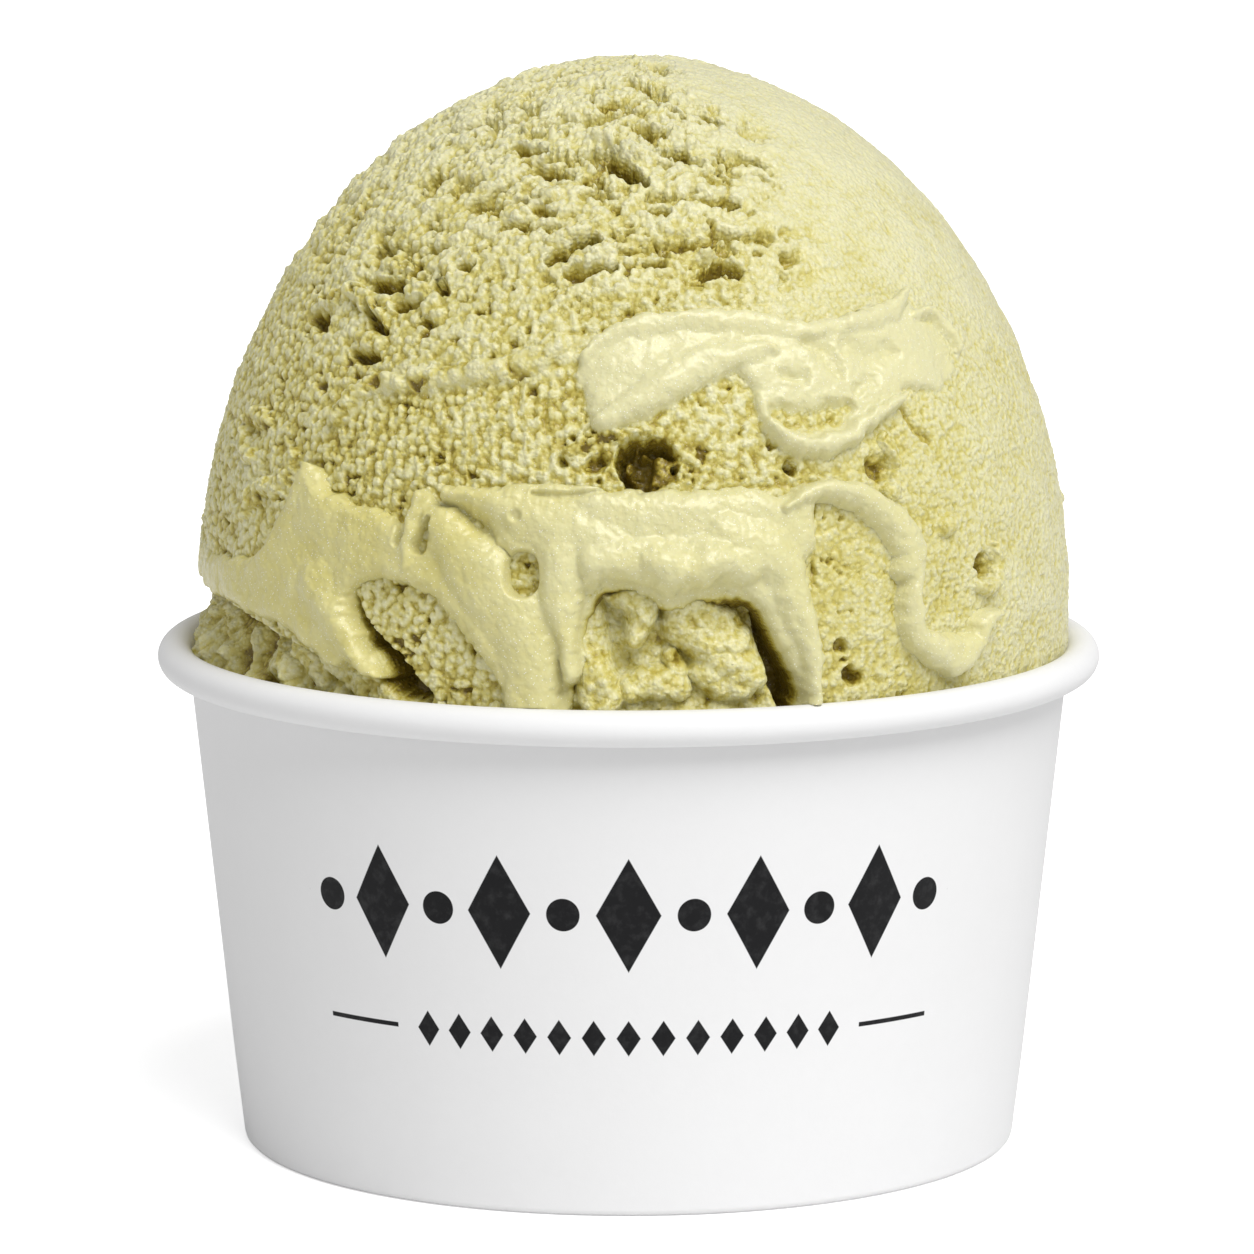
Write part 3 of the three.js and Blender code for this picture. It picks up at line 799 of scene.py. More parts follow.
def torn_relief(skin, coarse):
    """The fine relief of torn and of pressed skin, and the painted shade of each point: darker the further
    it lies in a crevice, lighter on the top and on the right.
    """
    torn = torn_skin(skin)
    place = skin.sunk_by(coarse)
    crown = smooth_step(skin.height, 81, 88)
    clump = drift(place, CLUMPS[0], 5) + 0.6 * drift(place, CLUMPS[1], 15)
    shifted = place + 0.12 * drift(place, 1.6, 3)[:, None]
    high = 0.72 * beads(shifted, TORN_BEADS[0], 11, 0.6) + 0.33 * beads(place, TORN_BEADS[1], 12, 0.62)
    low = 0.6 * beads(place, PRESSED_GRAINS[0], 23, 0.64)
    low += 0.42 * beads(place, PRESSED_GRAINS[1], 24, 0.66)
    along = skin.height - 77.9 - 0.1 * (skin.azimuth + 24)
    ledge = smooth_step(np.abs(along), 2.0, 0.6) * smooth_step(np.abs(skin.azimuth + 25), 19, 13)
    knobs = 0.9 * beads(shifted, LEDGE_KNOBS, 29, 0.7) + 0.3 * high
    high = high * (1 - ledge) + knobs * ledge
    arc = np.radians(skin.azimuth) * scoop_radius_at(skin.height)
    rows = smooth_step(skin.height, 66, 69) * smooth_step(skin.height, 78.5, 76.5)
    rows = rows * smooth_step(skin.azimuth, -44, -36) * smooth_step(skin.azimuth, -4, -12)
    ribs = np.cos(arc * 2 * np.pi / RIB_PITCH + 1.5 * drift(place, 4, 6))
    wide = (place + 0.5 * drift(place, 3, 19)[:, None]) * (0.42, 0.8, 0.8)
    shelf = crown * (drift(wide, SHELVES[0], 8) + 0.4 * drift(wide, SHELVES[1], 18))
    bead = low + (high - low) * torn
    ajar = smooth_step(torn, 0.1, 0.7)
    pit = smooth_step(-shelf - 0.55 * (bead - 0.5), 0.26, 0.8) * crown * ajar
    pore = smooth_step(drift(place, PORES, 31) - 0.3 * clump - 0.5 * (bead - 0.5), 0.62, 1.0) * ajar
    grainy = smooth_step(skin.height, 82, 76)
    beaded = 0.42 * high + 0.15 * clump + 0.1 * rows * ribs + 0.45 * shelf - 0.22
    pressed = (0.15 + 0.08 * grainy) * low + (0.1 + 0.08 * grainy) * clump + 0.08 * shelf - 0.08
    relief = pressed + (beaded - pressed) * torn - 1.2 * pit - 0.5 * pore
    # Painted shade: darker in the gaps between beads, in pits and pores, lighter on clumps and shelves;
    # painted light makes the top and the right side lighter
    gap = np.maximum(1 - bead, 0) ** 1.1 * (1 - pit) * (1 - 0.12 * crown)
    hollow = (0.4 + 0.27 * torn + 0.1 * grainy) * gap
    hollow = hollow + 0.6 * pit + 0.4 * pore + 0.07 * grainy * (1 - torn)
    painted_light_top_right = 0.14 * smooth_step(skin.height, 88, 99) + 0.1 * smooth_step(skin.azimuth, 38, 62)
    return relief, np.clip(hollow - 0.1 * clump - 0.15 * shelf - painted_light_top_right, 0, 1)


def smear_relief(skin):
    """The soft lumps and fine grain on the smeared gelato."""
    soft = 0.16 * drift(skin.place, 2.9, 9) + 0.09 * drift(skin.place, 1.3, 7)
    return soft + 0.06 * beads(skin.place, 0.6, 57, 0.7) + 0.05 * drift(skin.place, 0.5, 58)


def scoop_level(skin):
    """How far the ball stands off the plain scoop, how much painted shade each place gets and how far
    smeared.
    """
    loose = skin.wavering(0.28, 1.5, 81).wavering(0.16, 0.55, 87)
    ragged = skin.wavering(0.4, 0.8, 83)
    smear = np.full(len(skin.height), BARE)
    smear = sheet_of_gelato(loose, smear, TONGUE, 0.85, 0.9, softness=0.25, fade=tongue_fade)
    for path, half_widths, thickness in TONGUE_RIDGES:
        smear = ribbon(loose, smear, path, half_widths, thickness, softness=0.8)
    for path, half_widths, depth in TONGUE_DENTS:
        smear = groove(loose, smear, path, half_widths, depth, wall=1.3)
    rough = np.zeros(len(skin.height))
    for path, half_widths, thickness in RIDGES:
        rough = ribbon(loose, rough, path, half_widths, thickness, softness=0.3)
    for path, half_widths, depth in FURROWS:
        lip = [(azimuth, height + 1.3 * max(half_widths) + 0.6) for azimuth, height in path]
        rough = ribbon(skin, rough, lip, (0.5, 0.9, 0.5), 0.3 * depth, softness=0.5)
    for path, half_widths, depth in FURROWS + PITS:
        rough = groove(ragged, rough, path, half_widths, 1.15 * depth, wall=1.0)
    rough = groove(skin, rough - arch_depth(skin), *CRACK)
    bubble = groove(loose, np.zeros(len(rough)), *BUBBLE, wall=0.35)
    crumbs = drift(skin.place, 1.5, 55) + 0.4 * drift(skin.place, 0.7, 56)
    rough = rough + bubble * (1 - 0.72 * smooth_step(crumbs, 0, 0.4))
    relief, hollow = torn_relief(skin, rough)
    # Painted shade: the deeper a furrow, pit or arch sinks, the darker it is painted; smeared places get a
    # light even painted shade, a little more where the smear is thin
    sunk = 0.5 * smooth_step(-rough, 0.1, 0.9) + 0.45 * smooth_step(-rough, 0.9, 2.2)
    rough = rough + relief
    smeared = smooth_step(smear - rough, -0.05, 0.15) * (smear > THERE)
    smooth_side = smear + smear_relief(skin)
    level = np.where(smear > THERE, merged(rough, smooth_side, 0.12), rough)
    thin = 0.12 + 0.1 * smooth_step(0.75 - smear, 0, 1.2)
    return level, np.clip((hollow + sunk) * (1 - smeared) + thin * smeared, 0, 1), smeared


def skin_points(azimuth, tilt, level):
    """Places in space of a surface that stands the level off the scoop, kept inside the cup and rim."""
    turn, up = np.radians(azimuth), np.radians(tilt)
    reach = plain_reach(up) + level
    low = tilt < 9
    sine, cosine, flat, rise = np.sin(turn), np.cos(turn), np.cos(up), np.sin(up)
    for _ in range(30):
        x, y = SCOOP_CENTRE_X + reach * flat * sine, -reach * flat * cosine
        out = low & (np.hypot(x, y) > room_at(SCOOP_EQUATOR + reach * rise))
        if not out.any():
            break
        reach = np.where(out, reach - 0.15, reach)
    x, y = SCOOP_CENTRE_X + reach * flat * sine, -reach * flat * cosine
    return np.stack((x, y, SCOOP_EQUATOR + reach * rise), axis=1)


def store(piece, name, values):
    attribute = piece.data.attributes.new(name, "FLOAT", "POINT")
    attribute.data.foreach_set("value", values.astype(np.float32))


def round_body(name, rows):
    """A grid to be wrapped into a closed ring, with the turn of each column and each row's number."""
    bpy.ops.mesh.primitive_grid_add(x_subdivisions=COLUMNS, y_subdivisions=rows, size=1, calc_uvs=False)
    piece = bpy.context.object
    piece.name = name
    piece.select_set(False)
    index = np.arange(len(piece.data.vertices))
    turn = (index % (COLUMNS + 1) / COLUMNS - 0.5) * 2 * np.pi
    return piece, turn, index // (COLUMNS + 1) % rows


def weld(piece):
    """Joins the grid's meeting edges and poles into one closed surface."""
    bpy.context.view_layer.objects.active = piece
    piece.select_set(True)
    bpy.ops.object.mode_set(mode="EDIT")
    bpy.ops.mesh.select_all(action="SELECT")
    bpy.ops.mesh.remove_doubles(threshold=0.002 * MM)
    bpy.ops.mesh.delete_loose(use_verts=True, use_edges=True, use_faces=False)
    bpy.ops.object.mode_set(mode="OBJECT")
    piece.select_set(False)


def thin_out(piece, triangles):
    """Collapses faces until this many triangles are left, most where the vertices are spare."""
    whole = sum(len(face.vertices) - 2 for face in piece.data.polygons)
    if whole > triangles:
        collapse = piece.modifiers.new("fewer faces", "DECIMATE")
        collapse.ratio = triangles / whole
        collapse.vertex_group = "spare"
        collapse.vertex_group_factor = 1.0
        apply_modifiers(piece)
    piece.vertex_groups.clear()


def finish_gelato(piece, points, hollow, smooth, triangles, keep):
    """Sets the body's points and its skin's values, welds it shut and thins its faces out."""
    piece.data.vertices.foreach_set("co", (points * MM).astype(np.float32).ravel())
    piece.data.update()
    # The painted shade that darkens crevices and shaded sides, stored for the material's colours
    store(piece, "hollow", hollow)
    store(piece, "smooth", smooth)
    group = piece.vertex_groups.new(name="spare")
    levels = np.round((1 - keep) * 8).astype(int)
    for level in range(1, 9):
        group.add(np.nonzero(levels == level)[0].tolist(), level / 8, "REPLACE")
    weld(piece)
    thin_out(piece, triangles)
    piece.data.shade_smooth()
    give_material(piece, GELATO)


# Colours of the gelato with its painted shade, from the light tops of the beads to the darkest bottom of
# the deepest pits
GELATO_PAINTED_SHADES = [
    (0.0, (0.72, 0.695, 0.445)),
    (0.25, (0.68, 0.642, 0.335)),
    (0.5, (0.595, 0.53, 0.16)),
    (0.78, (0.42, 0.335, 0.045)),
    (1.0, (0.20, 0.14, 0.012)),
]
CLOUD_DULL = (0.96, 0.955, 0.93, 1)
CLOUD_CLEAR = (1.0, 1.0, 1.0, 1)
# Colour of the painted glints
GLINT_WHITE = (0.95, 0.95, 0.85, 1)


def gelato_material():
    """Pale green gelato, damp: painted shade turns it olive to dark brown in its crevices and keeps it
    light on the beads, and painted glints dot it with tiny white highlights.
    """
    material, shader, place = new_material("pistachio_gelato")

    def stored(name):
        node = place.make("ShaderNodeAttribute", attribute_name=name).socket.node
        return Node(place.tree, node.outputs["Fac"])

    hollow, smooth = stored("hollow"), stored("smooth")
    cloud = place.make("ShaderNodeTexNoise", {"Vector": place, "Scale": 90, "Detail": 3})
    grain = {"Vector": place, "Scale": 2600, "Detail": 3, "Roughness": 0.6}
    grain = place.make("ShaderNodeTexNoise", grain)
    # Painted glints: tiny white dots painted into the colour as highlights, more of them on smooth gelato
    glint_cells = place.make("ShaderNodeTexVoronoi", {"Vector": place, "Scale": 2900})
    painted_glint = ((0.21 - glint_cells) * 9).clamped()
    crumb = place.make("ShaderNodeTexVoronoi", {"Vector": place, "Scale": 2150})
    crumb = (1.1 - crumb * 1.7).clamped()
    rough = 1 - smooth * 0.8
    # Painted shade between the fine crumbs of torn skin, added to the stored painted shade
    hollow = (hollow + (0.45 - crumb) * rough * 0.2).clamped()
    body = cloud.blend(CLOUD_DULL, CLOUD_CLEAR)
    # Painted shade: the colour darkens from pale green to olive and dark brown as the painted shade grows
    deep = place.make("ShaderNodeValToRGB", [hollow], stops=GELATO_PAINTED_SHADES)
    color = place.make(
        "ShaderNodeMix", {0: 1.0, 6: body, 7: deep}, output=2, data_type="RGBA", blend_type="MULTIPLY",
    )
    color = (painted_glint * 0.6 * (0.45 + smooth)).clamped().blend(color, GLINT_WHITE)
    drive(shader, "Base Color", color)
    drive(shader, "Roughness", 0.38 - smooth * 0.08 + grain * 0.14 - painted_glint * 0.2)
    peel = place.make("ShaderNodeTexNoise", {"Vector": place, "Scale": 1300, "Detail": 2})
    height = crumb * rough * 1.5 + peel * 0.9 + grain * 0.5 + painted_glint * 0.3
    bump = place.make("ShaderNodeBump", {"Height": height, "Strength": 0.5, "Distance": 0.18 * MM})
    drive(shader, "Normal", bump)
    shader.inputs["IOR"].default_value = 1.35
    shader.inputs["Coat Weight"].default_value = 0.4
    shader.inputs["Coat Roughness"].default_value = 0.22
    shader.inputs["Subsurface Weight"].default_value = 0.3
    shader.inputs["Subsurface Radius"].default_value = (1.0, 0.85, 0.45)
    shader.inputs["Subsurface Scale"].default_value = 0.4 * MM
    return material


GELATO = gelato_material()
TUCK = 1.3  # how far each band's edge runs on under its neighbour
TUCK_SLOPE = 0.12

LOW_ROWS = tilts_through((6, -90, -9), (8, -9, -4), (30, -4, 2), (140, 2, tilt_at(70.5)))

# Bands of the ball: name, rows from the bottom up, and the lowest and highest height that shows
BALL_BANDS = [
    ("gelato_ball_low", LOW_ROWS, None, 68.5),
    ("gelato_ball_middle", tilts_through((150, tilt_at(66.5), tilt_at(86))), 68.5, 84.0),
    ("gelato_ball_shoulder", tilts_through((150, tilt_at(82), tilt_at(99))), 84.0, 97.0),
    ("gelato_ball_crown", tilts_through((150, tilt_at(95), 90)), 97.0, None),
]


def front_share(azimuth):
    return smooth_step(np.abs(azimuth), 105, 80)


def skin_at(azimuth, tilt):
    up = np.radians(tilt)
    return Skin(azimuth, SCOOP_EQUATOR + plain_reach(up) * np.sin(up))


for name, tilts, lowest, highest in BALL_BANDS:
    ball, turn, row = round_body(name, len(tilts) + 2)
    azimuth = crowded_azimuth(turn)
    outside = row < len(tilts)
    tilt = np.append(tilts, (tilts[-1], tilts[0]))[row]
    skin = skin_at(azimuth, tilt)
    level, hollow, smooth = scoop_level(skin)
    tucked = np.zeros(len(level))
    if highest is not None:
        tucked += np.maximum(skin.height - highest, 0) * TUCK_SLOPE
    if lowest is not None:
        tucked += np.maximum(lowest - skin.height, 0) * TUCK_SLOPE
    level = level * smooth_step(tilt, 90, 88.5)
    points = skin_points(azimuth, tilt, level - tucked)
    core = 0.0 if lowest is None or highest is None else 0.82
    points[~outside, :2] = points[~outside, :2] * core
    shown = outside & (tucked < TUCK * TUCK_SLOPE)
    if highest is not None:
        shown &= skin.height < highest + TUCK
    keep = np.where(shown, 0.25 + 0.65 * front_share(azimuth), 0) * smooth_step(skin.height, 44, 47)
    finish_gelato(ball, points, hollow, smooth, BODY_TRIANGLES, keep)
    ride_on_cup(ball, "gelato", "gelato_scoop")

# ---------------------------------------------------------------------------
# Gelato skirt: the softened lower edge of the scoop, smeared down into the cup by the spatula in
# sheets, ribbons and drips, and frozen on again. It lies on the ball and hangs clear at the arches.
# ---------------------------------------------------------------------------
LEFT_SHEET = [
    (-104, 57.0), (-90, 57.6), (-76, 57.6), (-62, 58.8), (-56.2, 60), (-53.7, 62.6), (-50.9, 65.4),
    (-49.7, 67.7), (-48.2, 69.8), (-46, 67.4), (-42.2, 66.1), (-39, 65.3), (-34.4, 65.1),
    (-32.2, 64.4), (-30.2, 65.2), (-28.7, 67.2),
    (-26.7, 66.6), (-24.4, 65.6), (-21, 64.4), (-18, 62.6), (-16.8, 61.9), (-14, 62.3), (-10.5, 62),
    (-7.2, 61), (-7.2, 58.7), (-6.5, 55.5), (-6.5, 52.8), (-7.0, 51.0), (-8.2, 51.6), (-9.4, 53),
    (-10.6, 52.2), (-10.5, 50.6), (-8.6, 49.2), (-8.0, 46), (-16, 46), (-16.4, 49.2), (-17.8, 51.5),
    (-20.4, 53.6), (-23.2, 55.8), (-25.9, 57.6), (-28.8, 58.7), (-32.5, 59.1), (-37.0, 58.6),
    (-38.7, 57.4), (-38.3, 55.5), (-36.3, 53.5), (-34.7, 52.3), (-33.4, 51.0), (-35.2, 50.2),
    (-39, 50.9), (-43.3, 51.7), (-49.2, 52.8), (-52.6, 53.6), (-58, 53.8), (-66.6, 54.5), (-78, 54.6),
    (-92, 54.8), (-104, 55.4),
]
BAND = [
    (-25.9, 67.8), (-21, 67.7), (-17.2, 68.3), (-12.1, 68.7), (-6, 68.2), (0, 67.9), (6, 67.9),
    (11.3, 68.1), (15.7, 68.1), (19.2, 66.9), (22.3, 67.9), (24.2, 67.4), (24.2, 65.8), (23.6, 62.8),
    (21.9, 60.7), (23.3, 58.2), (23.8, 55.7), (23.5, 53.2), (22.9, 49.1), (22.6, 46), (21.3, 46),
    (21.7, 49.1), (20.6, 51.6), (18.4, 54.4), (16.3, 57), (14.1, 58.8), (11.5, 60.0), (9.3, 59.6),
    (5.8, 59.1), (1.5, 59.9), (-1.5, 60.3), (-4.1, 59.6), (-7.1, 59), (-10, 59.5), (-14.5, 61.9),
    (-17.1, 62.6), (-18.4, 64.2), (-21.2, 65.4), (-24.6, 66.6),
]
BACK_SHEET_A = [
    (103, 61.0), (110, 63.5), (122, 62.5), (133, 65.5), (145, 67), (158, 66), (170, 63.5),
    (181, 63.0), (178, 55), (177, 46), (171, 46), (171, 52), (168, 58.0), (158, 59.6), (147, 57.5),
    (139, 55), (136, 46), (127, 46), (127, 54), (122, 57.5), (112, 58.6), (104, 58),
]
BACK_SHEET_B = [
    (175, 62.5), (187, 64.0), (198, 66.5), (211, 65.0), (222, 63.5), (234, 62.0), (246, 61.5),
    (258, 59.5), (256, 56.5), (247, 55.5), (238, 55.0), (228, 50), (222, 46),
    (214, 46), (216, 55), (207, 58.6), (198, 56.0), (191, 52), (188, 46), (180, 46), (176, 52),
]
# The sheets beside the left one: an outline, a thickness and how far in they reach it
SHEETS = [(BAND, 1.35, 1.9), (BACK_SHEET_A, 1.4, 1.6), (BACK_SHEET_B, 1.35, 1.6)]

# Ribbons laid on the sheets: a path, half widths, a thickness and how softly they join
SKIRT_RIBBONS = [
    ([(-50.5, 62.5), (-48.8, 66), (-48.3, 69.4)], (2.0, 1.2, 0.6), 1.6, 0.6),
    ([(-29.3, 60.5), (-29.3, 63.5), (-28.4, 66.3)], (0.8, 1.0, 0.7), 1.75, 0.5),
    ([(-44, 58), (-40.6, 54.8), (-38.0, 52.8), (-35.6, 51.2), (-33.6, 50.6)],
     (2.4, 1.9, 1.4, 1.0, 0.6), 1.8, 0.7),
    ([(-46, 54.0), (-43, 52.6), (-40.5, 51.4)], (1.3, 1.2, 0.9), 1.2, 0.5),
    ([(-25, 64), (-20, 60.5), (-15.5, 57), (-13, 53), (-12.5, 49), (-12.2, 45.5)],
     (2.2, 3.0, 3.4, 2.8, 2.6, 2.6), 2.1, 1.0),
    ([(-9.5, 62), (-9.0, 58), (-8.0, 54.5), (-7.6, 51.6)], (2.2, 2.0, 1.2, 0.9), 2.2, 0.8),
    ([(-24.5, 67.1), (-19, 66.6), (-14, 65.5), (-8, 64.2), (-3, 62.8)],
     (0.7, 1.3, 2.2, 2.4, 2.0), 1.9, 1.0),
    ([(-5, 61.4), (0, 61.6), (5, 61.2), (10, 61.6), (14, 61.4)], (1.6, 2.0, 2.5, 2.4, 2.2), 2.6, 1.2),
    ([(2.5, 61.4), (6.5, 60.8), (10.5, 61.4)], (1.6, 2.1, 1.7), 3.4, 1.2),
    ([(12, 63.5), (17, 62.2), (19.8, 59), (21.4, 55.5), (22.4, 52), (22.3, 47)],
     (2.6, 2.7, 2.0, 1.4, 0.8, 0.5), 2.4, 0.5),
    ([(19.4, 65.8), (22.4, 66.8), (25.5, 67.2), (29.8, 66.6), (33.4, 65.1), (36.2, 63.3), (37.6, 61.2),
      (37.4, 60.2)], (0.4, 0.8, 1.0, 1.25, 1.5, 1.8, 2.1, 1.8), 2.1, 0.7),
    ([(38.1, 59.0), (37.1, 57.0), (37.3, 55.0), (38.6, 53.4), (41.2, 52.2), (45.0, 51.3), (48.0, 52.0),
      (50.0, 53.8), (52.5, 54.4)], (0.9, 1.1, 1.2, 1.4, 1.7, 1.9, 1.5, 0.9, 0.5), 1.9, 0.7),
    ([(105, 59.8), (113, 60.8), (124, 60.0), (140, 60.5), (156, 62.3), (170, 61)],
     (0.8, 1.8, 2.2, 2.2, 1.9, 1.8), 2.2, 1.0),
    ([(188, 60.5), (202, 62.0), (214, 61.0), (230, 58.5), (244, 58.5), (256, 58.0)],
     (2.0, 2.2, 2.0, 2.2, 1.6, 0.8), 2.0, 1.0),
]
# Holes and dents in the sheets: a place or a path, half widths, a depth and its wall's softness
SKIRT_HOLES = [
    ([(-14.0, 60.9), (-13.9, 59.7)], (1.45, 1.45), 3.4, 0.4),
    ([(-14.9, 65.3)], (0.55,), 0.5, 0.75),
    ([(-13, 67.35), (-8.5, 67.25), (-3.1, 67.8)], (0.25, 0.4, 0.25), 0.6, 0.75),
    ([(-31.3, 65.0), (-30.6, 63.4), (-31.0, 62.4)], (0.4, 0.6, 0.4), 0.9, 0.75),
    ([(-27.9, 62.2), (-27.2, 63.6), (-26.6, 64.6)], (0.7, 0.6, 0.3), 1.6, 0.5),
]


def left_fade(some):
    return 0.12 + 0.88 * smooth_step(some.azimuth, -82, -56)


def skirt_level(skin):
    """How far the smeared sheets stand off the plain scoop, below -1 where there are none."""
    loose = skin.wavering(0.3, 1.7, 85).wavering(0.18, 0.55, 87)
    level = np.full(len(skin.height), BARE)
    level = sheet_of_gelato(loose, level, LEFT_SHEET, 1.3, 1.5, softness=0.3, fade=left_fade)
    for outline, thickness, lip in SHEETS:
        level = sheet_of_gelato(loose, level, outline, thickness, lip, softness=0.3)
    for path, half_widths, thickness, softness in SKIRT_RIBBONS:
        level = ribbon(loose, level, path, half_widths, thickness, softness)
    for path, half_widths, depth, wall in SKIRT_HOLES:
        level = groove(skin, level, path, half_widths, depth, wall)
    return level + smear_relief(skin)


SKIRT_TILTS = tilts_through((150, -9, 22.5))
SKIRT_INSIDE = 1.8  # how far its hidden face lies inside the ball

skirt, turn, row = round_body("gelato_skirt", len(SKIRT_TILTS) + 8)
azimuth = crowded_azimuth(turn)
outside = row < len(SKIRT_TILTS)
tilt = np.append(SKIRT_TILTS, np.linspace(SKIRT_TILTS[-1], SKIRT_TILTS[0], 10)[1:-1])[row]
skin = skin_at(azimuth, tilt)
sheet = skirt_level(skin)
ball_level, _, _ = scoop_level(skin)
below = np.minimum(ball_level, 0) - 0.9
sheet_edge = smooth_step(-0.3 - sheet, 0, 1.2)
level = np.maximum(sheet, -0.3) * (1 - sheet_edge) + np.minimum(below, -0.9) * sheet_edge
ends = smooth_step(skin.height, 71, 70) * smooth_step(skin.height, 45.1, 45.5)
level = np.where(ends > 0.5, level, below)
level = np.where(outside, level, np.minimum(ball_level, 0) - SKIRT_INSIDE)
points = skin_points(azimuth, tilt, level)
keep = (0.25 + 0.65 * front_share(azimuth)) * np.where(outside & (sheet > THERE), 1, 0)
# Painted shade on the smeared sheets: darker towards the left, away from the key light, darker where they
# sink in and lighter on their lumps
shaded = 0.22 + 0.17 * smooth_step(azimuth, 2, -30)
hollow = np.clip(smooth_step(-level, -0.1, 2.0) + shaded - 0.35 * smear_relief(skin), 0, 1)
finish_gelato(skirt, points, hollow, smooth_step(level, -0.9, 0.2), BODY_TRIANGLES, keep)
ride_on_cup(skirt, "gelato", "gelato_scoop")

# ---------------------------------------------------------------------------
# Packed gelato: fills the cup to the wall and rises under the scoop. Where it shows, beside and under
# the scoop, it is torn into ridges and crumbs.
# ---------------------------------------------------------------------------
FILL_FLOOR = 6.45
FILL_EDGE_HEIGHT = 45.6
FILL_SLOPE = 3.1  # its rise for each millimetre inwards
FILL_CROWN = 61
FILL_TRIANGLES = 130000
RIDGES_ROUND = 42

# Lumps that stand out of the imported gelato: a path, half widths and a thickness
LUMPS = [
    ([(-1.0, 59.6), (1.5, 57.6), (1.0, 54.6)], (2.6, 2.0, 1.1), 3.2),
    ([(3.0, 58.6), (8.0, 58.2), (11, 57.0)], (1.6, 1.6, 1.0), 2.6),
    ([(8, 56.0), (12, 54.2), (14.5, 51.5)], (2.8, 3.2, 2.6), 2.6),
    ([(-5.4, 57.5), (-4.8, 53.0), (-3.5, 49.5)], (1.5, 2.0, 2.2), 2.2),
    ([(0.5, 50.2), (4.5, 50.6), (6.5, 50.0)], (1.5, 1.7, 1.3), 1.9),
    ([(9.5, 51.4), (12, 50.3), (15, 50.0)], (1.3, 1.6, 1.2), 1.7),
    ([(5.5, 52.8), (6.5, 51.6)], (0.9, 1.0), 1.6),
    ([(-41, 50.8), (-38, 49.6), (-36.5, 48.6)], (1.4, 1.6, 1.2), 2.0),
    ([(-45, 53.0), (-42.5, 51.6)], (1.1, 1.2), 1.6),
    ([(-49, 51.6), (-46.5, 50.6), (-44, 49.0)], (1.0, 1.3, 1.2), 1.6),
    ([(-32.0, 49.4), (-28.5, 48.6)], (1.0, 1.2), 1.5),
    ([(104, 55), (108, 51)], (1.8, 2.0), 1.8),
    ([(114, 56), (120, 52)], (1.8, 1.6), 2.0),
    ([(146, 55), (150, 50)], (2.2, 2.0), 2.2),
    ([(158, 57), (163, 52)], (2.4, 1.8), 2.4),
    ([(201, 56), (205, 51)], (2.2, 2.0), 2.2),
    ([(210, 53), (213, 49)], (1.6, 1.8), 1.8),
]
# Two gaps in the cave under the band: beside its right leg and under its roof
CAVE_SHADE = ([(18.2, 57.5), (19.4, 55.0), (20.2, 52.0), (21.3, 48.5)], (1.0, 1.6, 1.8, 1.4), 5.0)
CAVE_ROOF = ([(-2.6, 59.4), (0.0, 60.2), (3.4, 60.0)], (0.9, 1.1, 0.7), 3.5)


def around_cup(azimuth, radius, height):
    turn = np.radians(azimuth)
    return np.stack((radius * np.sin(turn), -radius * np.cos(turn), height), axis=1)


# Rows run from the bottom up: across the underside, up the wall, up the torn slope, over the crown
fill_rows = tilts_through((3, 0, 1), (3, 1, 2), (130, 2, 3), (4, 3, 4))
fill, turn, row = round_body("gelato_packed", len(fill_rows))
stage_of = fill_rows[row]
azimuth = crowded_azimuth(turn)
stage_heights = (FILL_FLOOR, FILL_FLOOR, FILL_EDGE_HEIGHT, FILL_CROWN, FILL_CROWN)
height = np.interp(stage_of, (0, 1, 2, 3, 4), stage_heights)
wall_radius = (wall_outer(np.minimum(height, FILL_EDGE_HEIGHT) * MM) - BOARD) / MM
radius = wall_radius - np.maximum(height - FILL_EDGE_HEIGHT, 0) / FILL_SLOPE
radius = radius * np.interp(stage_of, (0, 1, 3, 4), (0, 1, 1, 0))
sloped = (stage_of > 2) & (stage_of <= 3)
skin = Skin(azimuth, np.maximum(height, 45.0))
lumpy = np.zeros(len(azimuth))
for path, half_widths, thickness in LUMPS:
    lumpy = ribbon(skin, lumpy, path, half_widths, thickness, softness=0.4)
lumpy = groove(skin, lumpy, *CRACK)
lumpy = groove(skin, lumpy, *CAVE_SHADE)
lumpy = groove(skin, lumpy, *CAVE_ROOF)
flat = around_cup(azimuth, radius, height)
bent = azimuth + 2.5 * drift(flat, 6, 61) + (height - 50) * 0.8
in_cave = smooth_step(np.abs(turn_between(azimuth, 7)), 18, 15)
accordion = 1 - 2 * np.abs(np.sin(np.radians(bent) * RIDGES_ROUND / 2)) ** 0.8
lumpy += 0.75 * accordion * (1 - in_cave) + 0.6 * drift(flat, 2.6, 67)
bead = 0.65 * beads(flat, 0.72, 71, 0.66) + 0.35 * beads(flat, 0.42, 72, 0.7)
crumbs = drift(flat, 1.7, 73) + 0.5 * drift(flat, 0.9, 74)
stand_off = lumpy + 0.4 * bead + 0.55 * crumbs - 0.2
new_radius = np.minimum(np.maximum(radius + stand_off, 3), room_at(height))
new_radius = np.where(sloped, new_radius, radius)
points = around_cup(azimuth, new_radius, height)
# Painted shade on the packed gelato: darker between beads, in the crumbs' dips and in grooves; hidden parts
# get an even middling value
hollow = 0.62 * (1 - bead) + 0.35 * smooth_step(-crumbs, 0.1, 0.8) + smooth_step(-lumpy, 0, 1.6)
hollow = np.where(sloped, np.clip(hollow, 0, 1), 0.3)
keep = np.where(sloped & (height < 60), 0.3 + 0.6 * front_share(azimuth), np.where(sloped, 0, 1))
finish_gelato(fill, points, hollow, np.zeros(len(azimuth)), FILL_TRIANGLES, keep)
ride_on_cup(fill, "gelato", "gelato_fill")

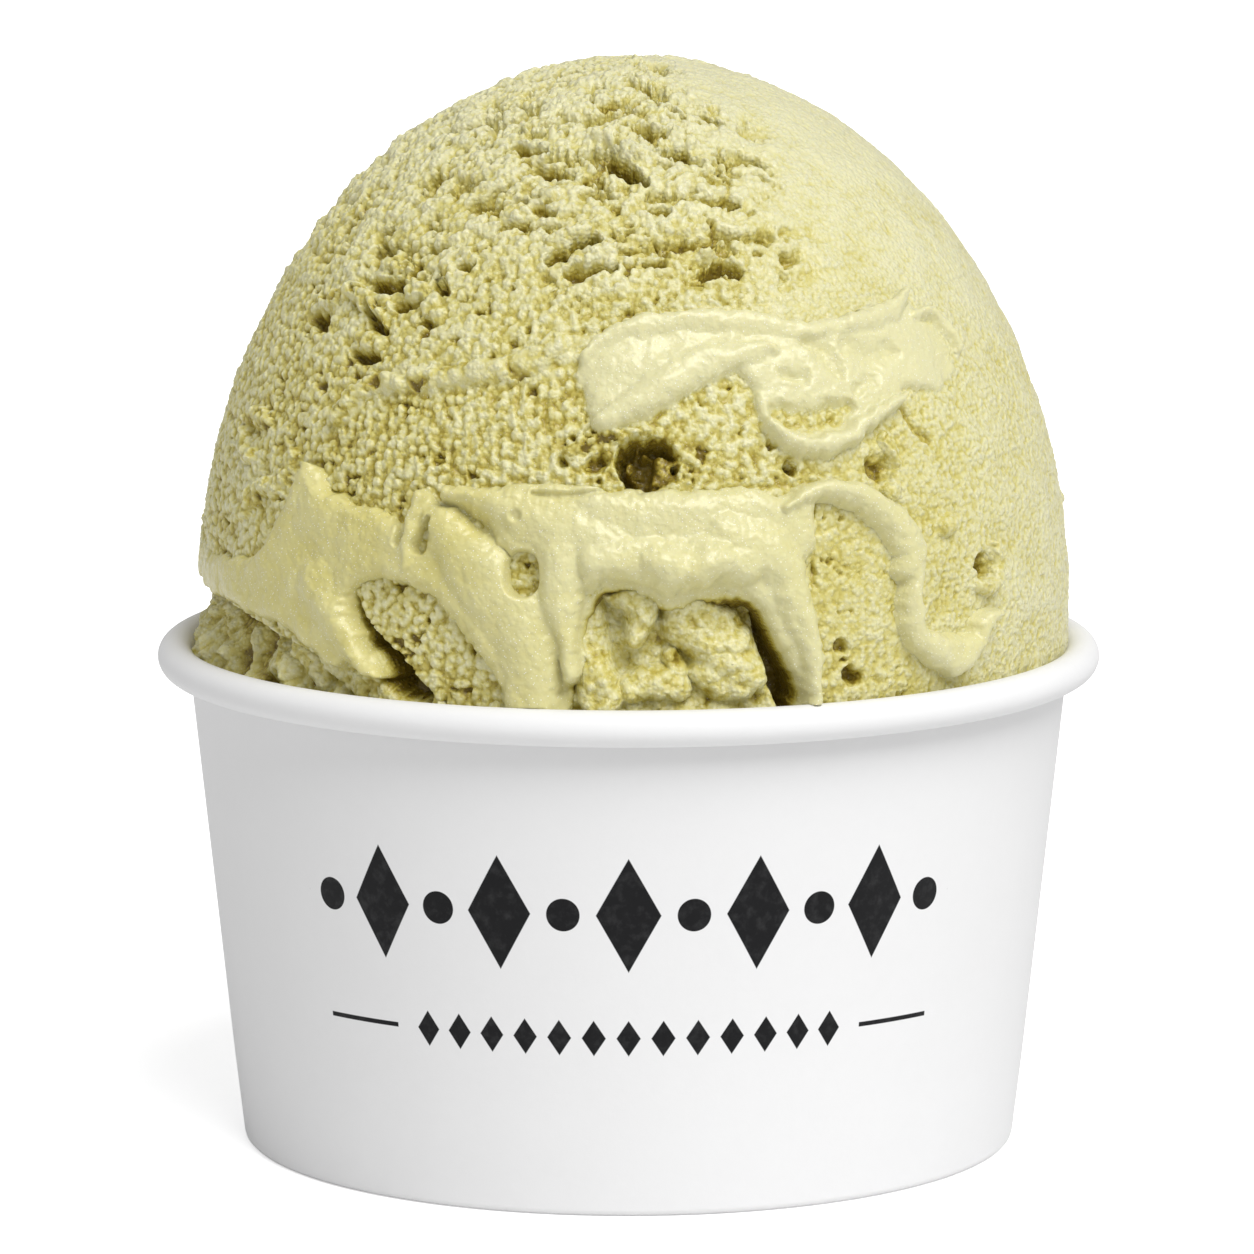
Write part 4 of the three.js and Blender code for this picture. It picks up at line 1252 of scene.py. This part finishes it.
# ---------------------------------------------------------------------------
# Studio: a plain white floor that glows a little to the camera, an even white surround, and one
# broad soft sun, high at the right of the camera
# ---------------------------------------------------------------------------
FLOOR_SIZE = 6.0
FLOOR_WHITE = (0.82, 0.82, 0.82, 1)
FLOOR_GLOW = 0.55
SURROUND_STRENGTH = 0.47
BACKDROP_STRENGTH = 1.0
WHITE = (1, 1, 1, 1)
KEY_ELEVATION = math.radians(52)
KEY_AZIMUTH = math.radians(32)
KEY_STRENGTH = 2.55
KEY_SPREAD = math.radians(40)


def show_apart(tree, plain, seen, output):
    """Lets the camera see one shader, while light from everywhere else meets the plain one."""
    ray = tree.nodes.new("ShaderNodeLightPath")
    choose = tree.nodes.new("ShaderNodeMixShader")
    tree.links.new(ray.outputs["Is Camera Ray"], choose.inputs[0])
    tree.links.new(plain.outputs[0], choose.inputs[1])
    tree.links.new(seen.outputs[0], choose.inputs[2])
    tree.links.new(choose.outputs[0], tree.nodes[output].inputs["Surface"])


bpy.ops.mesh.primitive_plane_add(size=FLOOR_SIZE, location=(0, 0, 0))
floor = bpy.context.object
floor.name = "studio_floor"
floor_material, floor_shader, _ = new_material("studio_white")
floor_shader.inputs["Base Color"].default_value = FLOOR_WHITE
floor_shader.inputs["Roughness"].default_value = 0.9
floor_shader.inputs["Specular IOR Level"].default_value = 0.0
floor_tree = floor_material.node_tree
floor_glow = floor_tree.nodes.new("ShaderNodeEmission")
floor_glow.inputs["Strength"].default_value = FLOOR_GLOW
floor_sum = floor_tree.nodes.new("ShaderNodeAddShader")
floor_tree.links.new(floor_shader.outputs[0], floor_sum.inputs[0])
floor_tree.links.new(floor_glow.outputs[0], floor_sum.inputs[1])
show_apart(floor_tree, floor_shader, floor_sum, "Material Output")
give_material(floor, floor_material)

world = bpy.data.worlds.new("surround")
bpy.context.scene.world = world
world.use_nodes = True
surround = world.node_tree.nodes["Background"]
surround.inputs["Color"].default_value = WHITE
surround.inputs["Strength"].default_value = SURROUND_STRENGTH
backdrop = world.node_tree.nodes.new("ShaderNodeBackground")
backdrop.inputs["Color"].default_value = WHITE
backdrop.inputs["Strength"].default_value = BACKDROP_STRENGTH
show_apart(world.node_tree, surround, backdrop, "World Output")

bpy.ops.object.light_add(type="SUN", rotation=(math.pi / 2 - KEY_ELEVATION, 0, KEY_AZIMUTH))
key_light = bpy.context.object
key_light.name = "key_light"
key_light.data.energy = KEY_STRENGTH
key_light.data.angle = KEY_SPREAD

scene = bpy.context.scene
scene.view_settings.view_transform = "Standard"
scene.view_settings.look = "None"
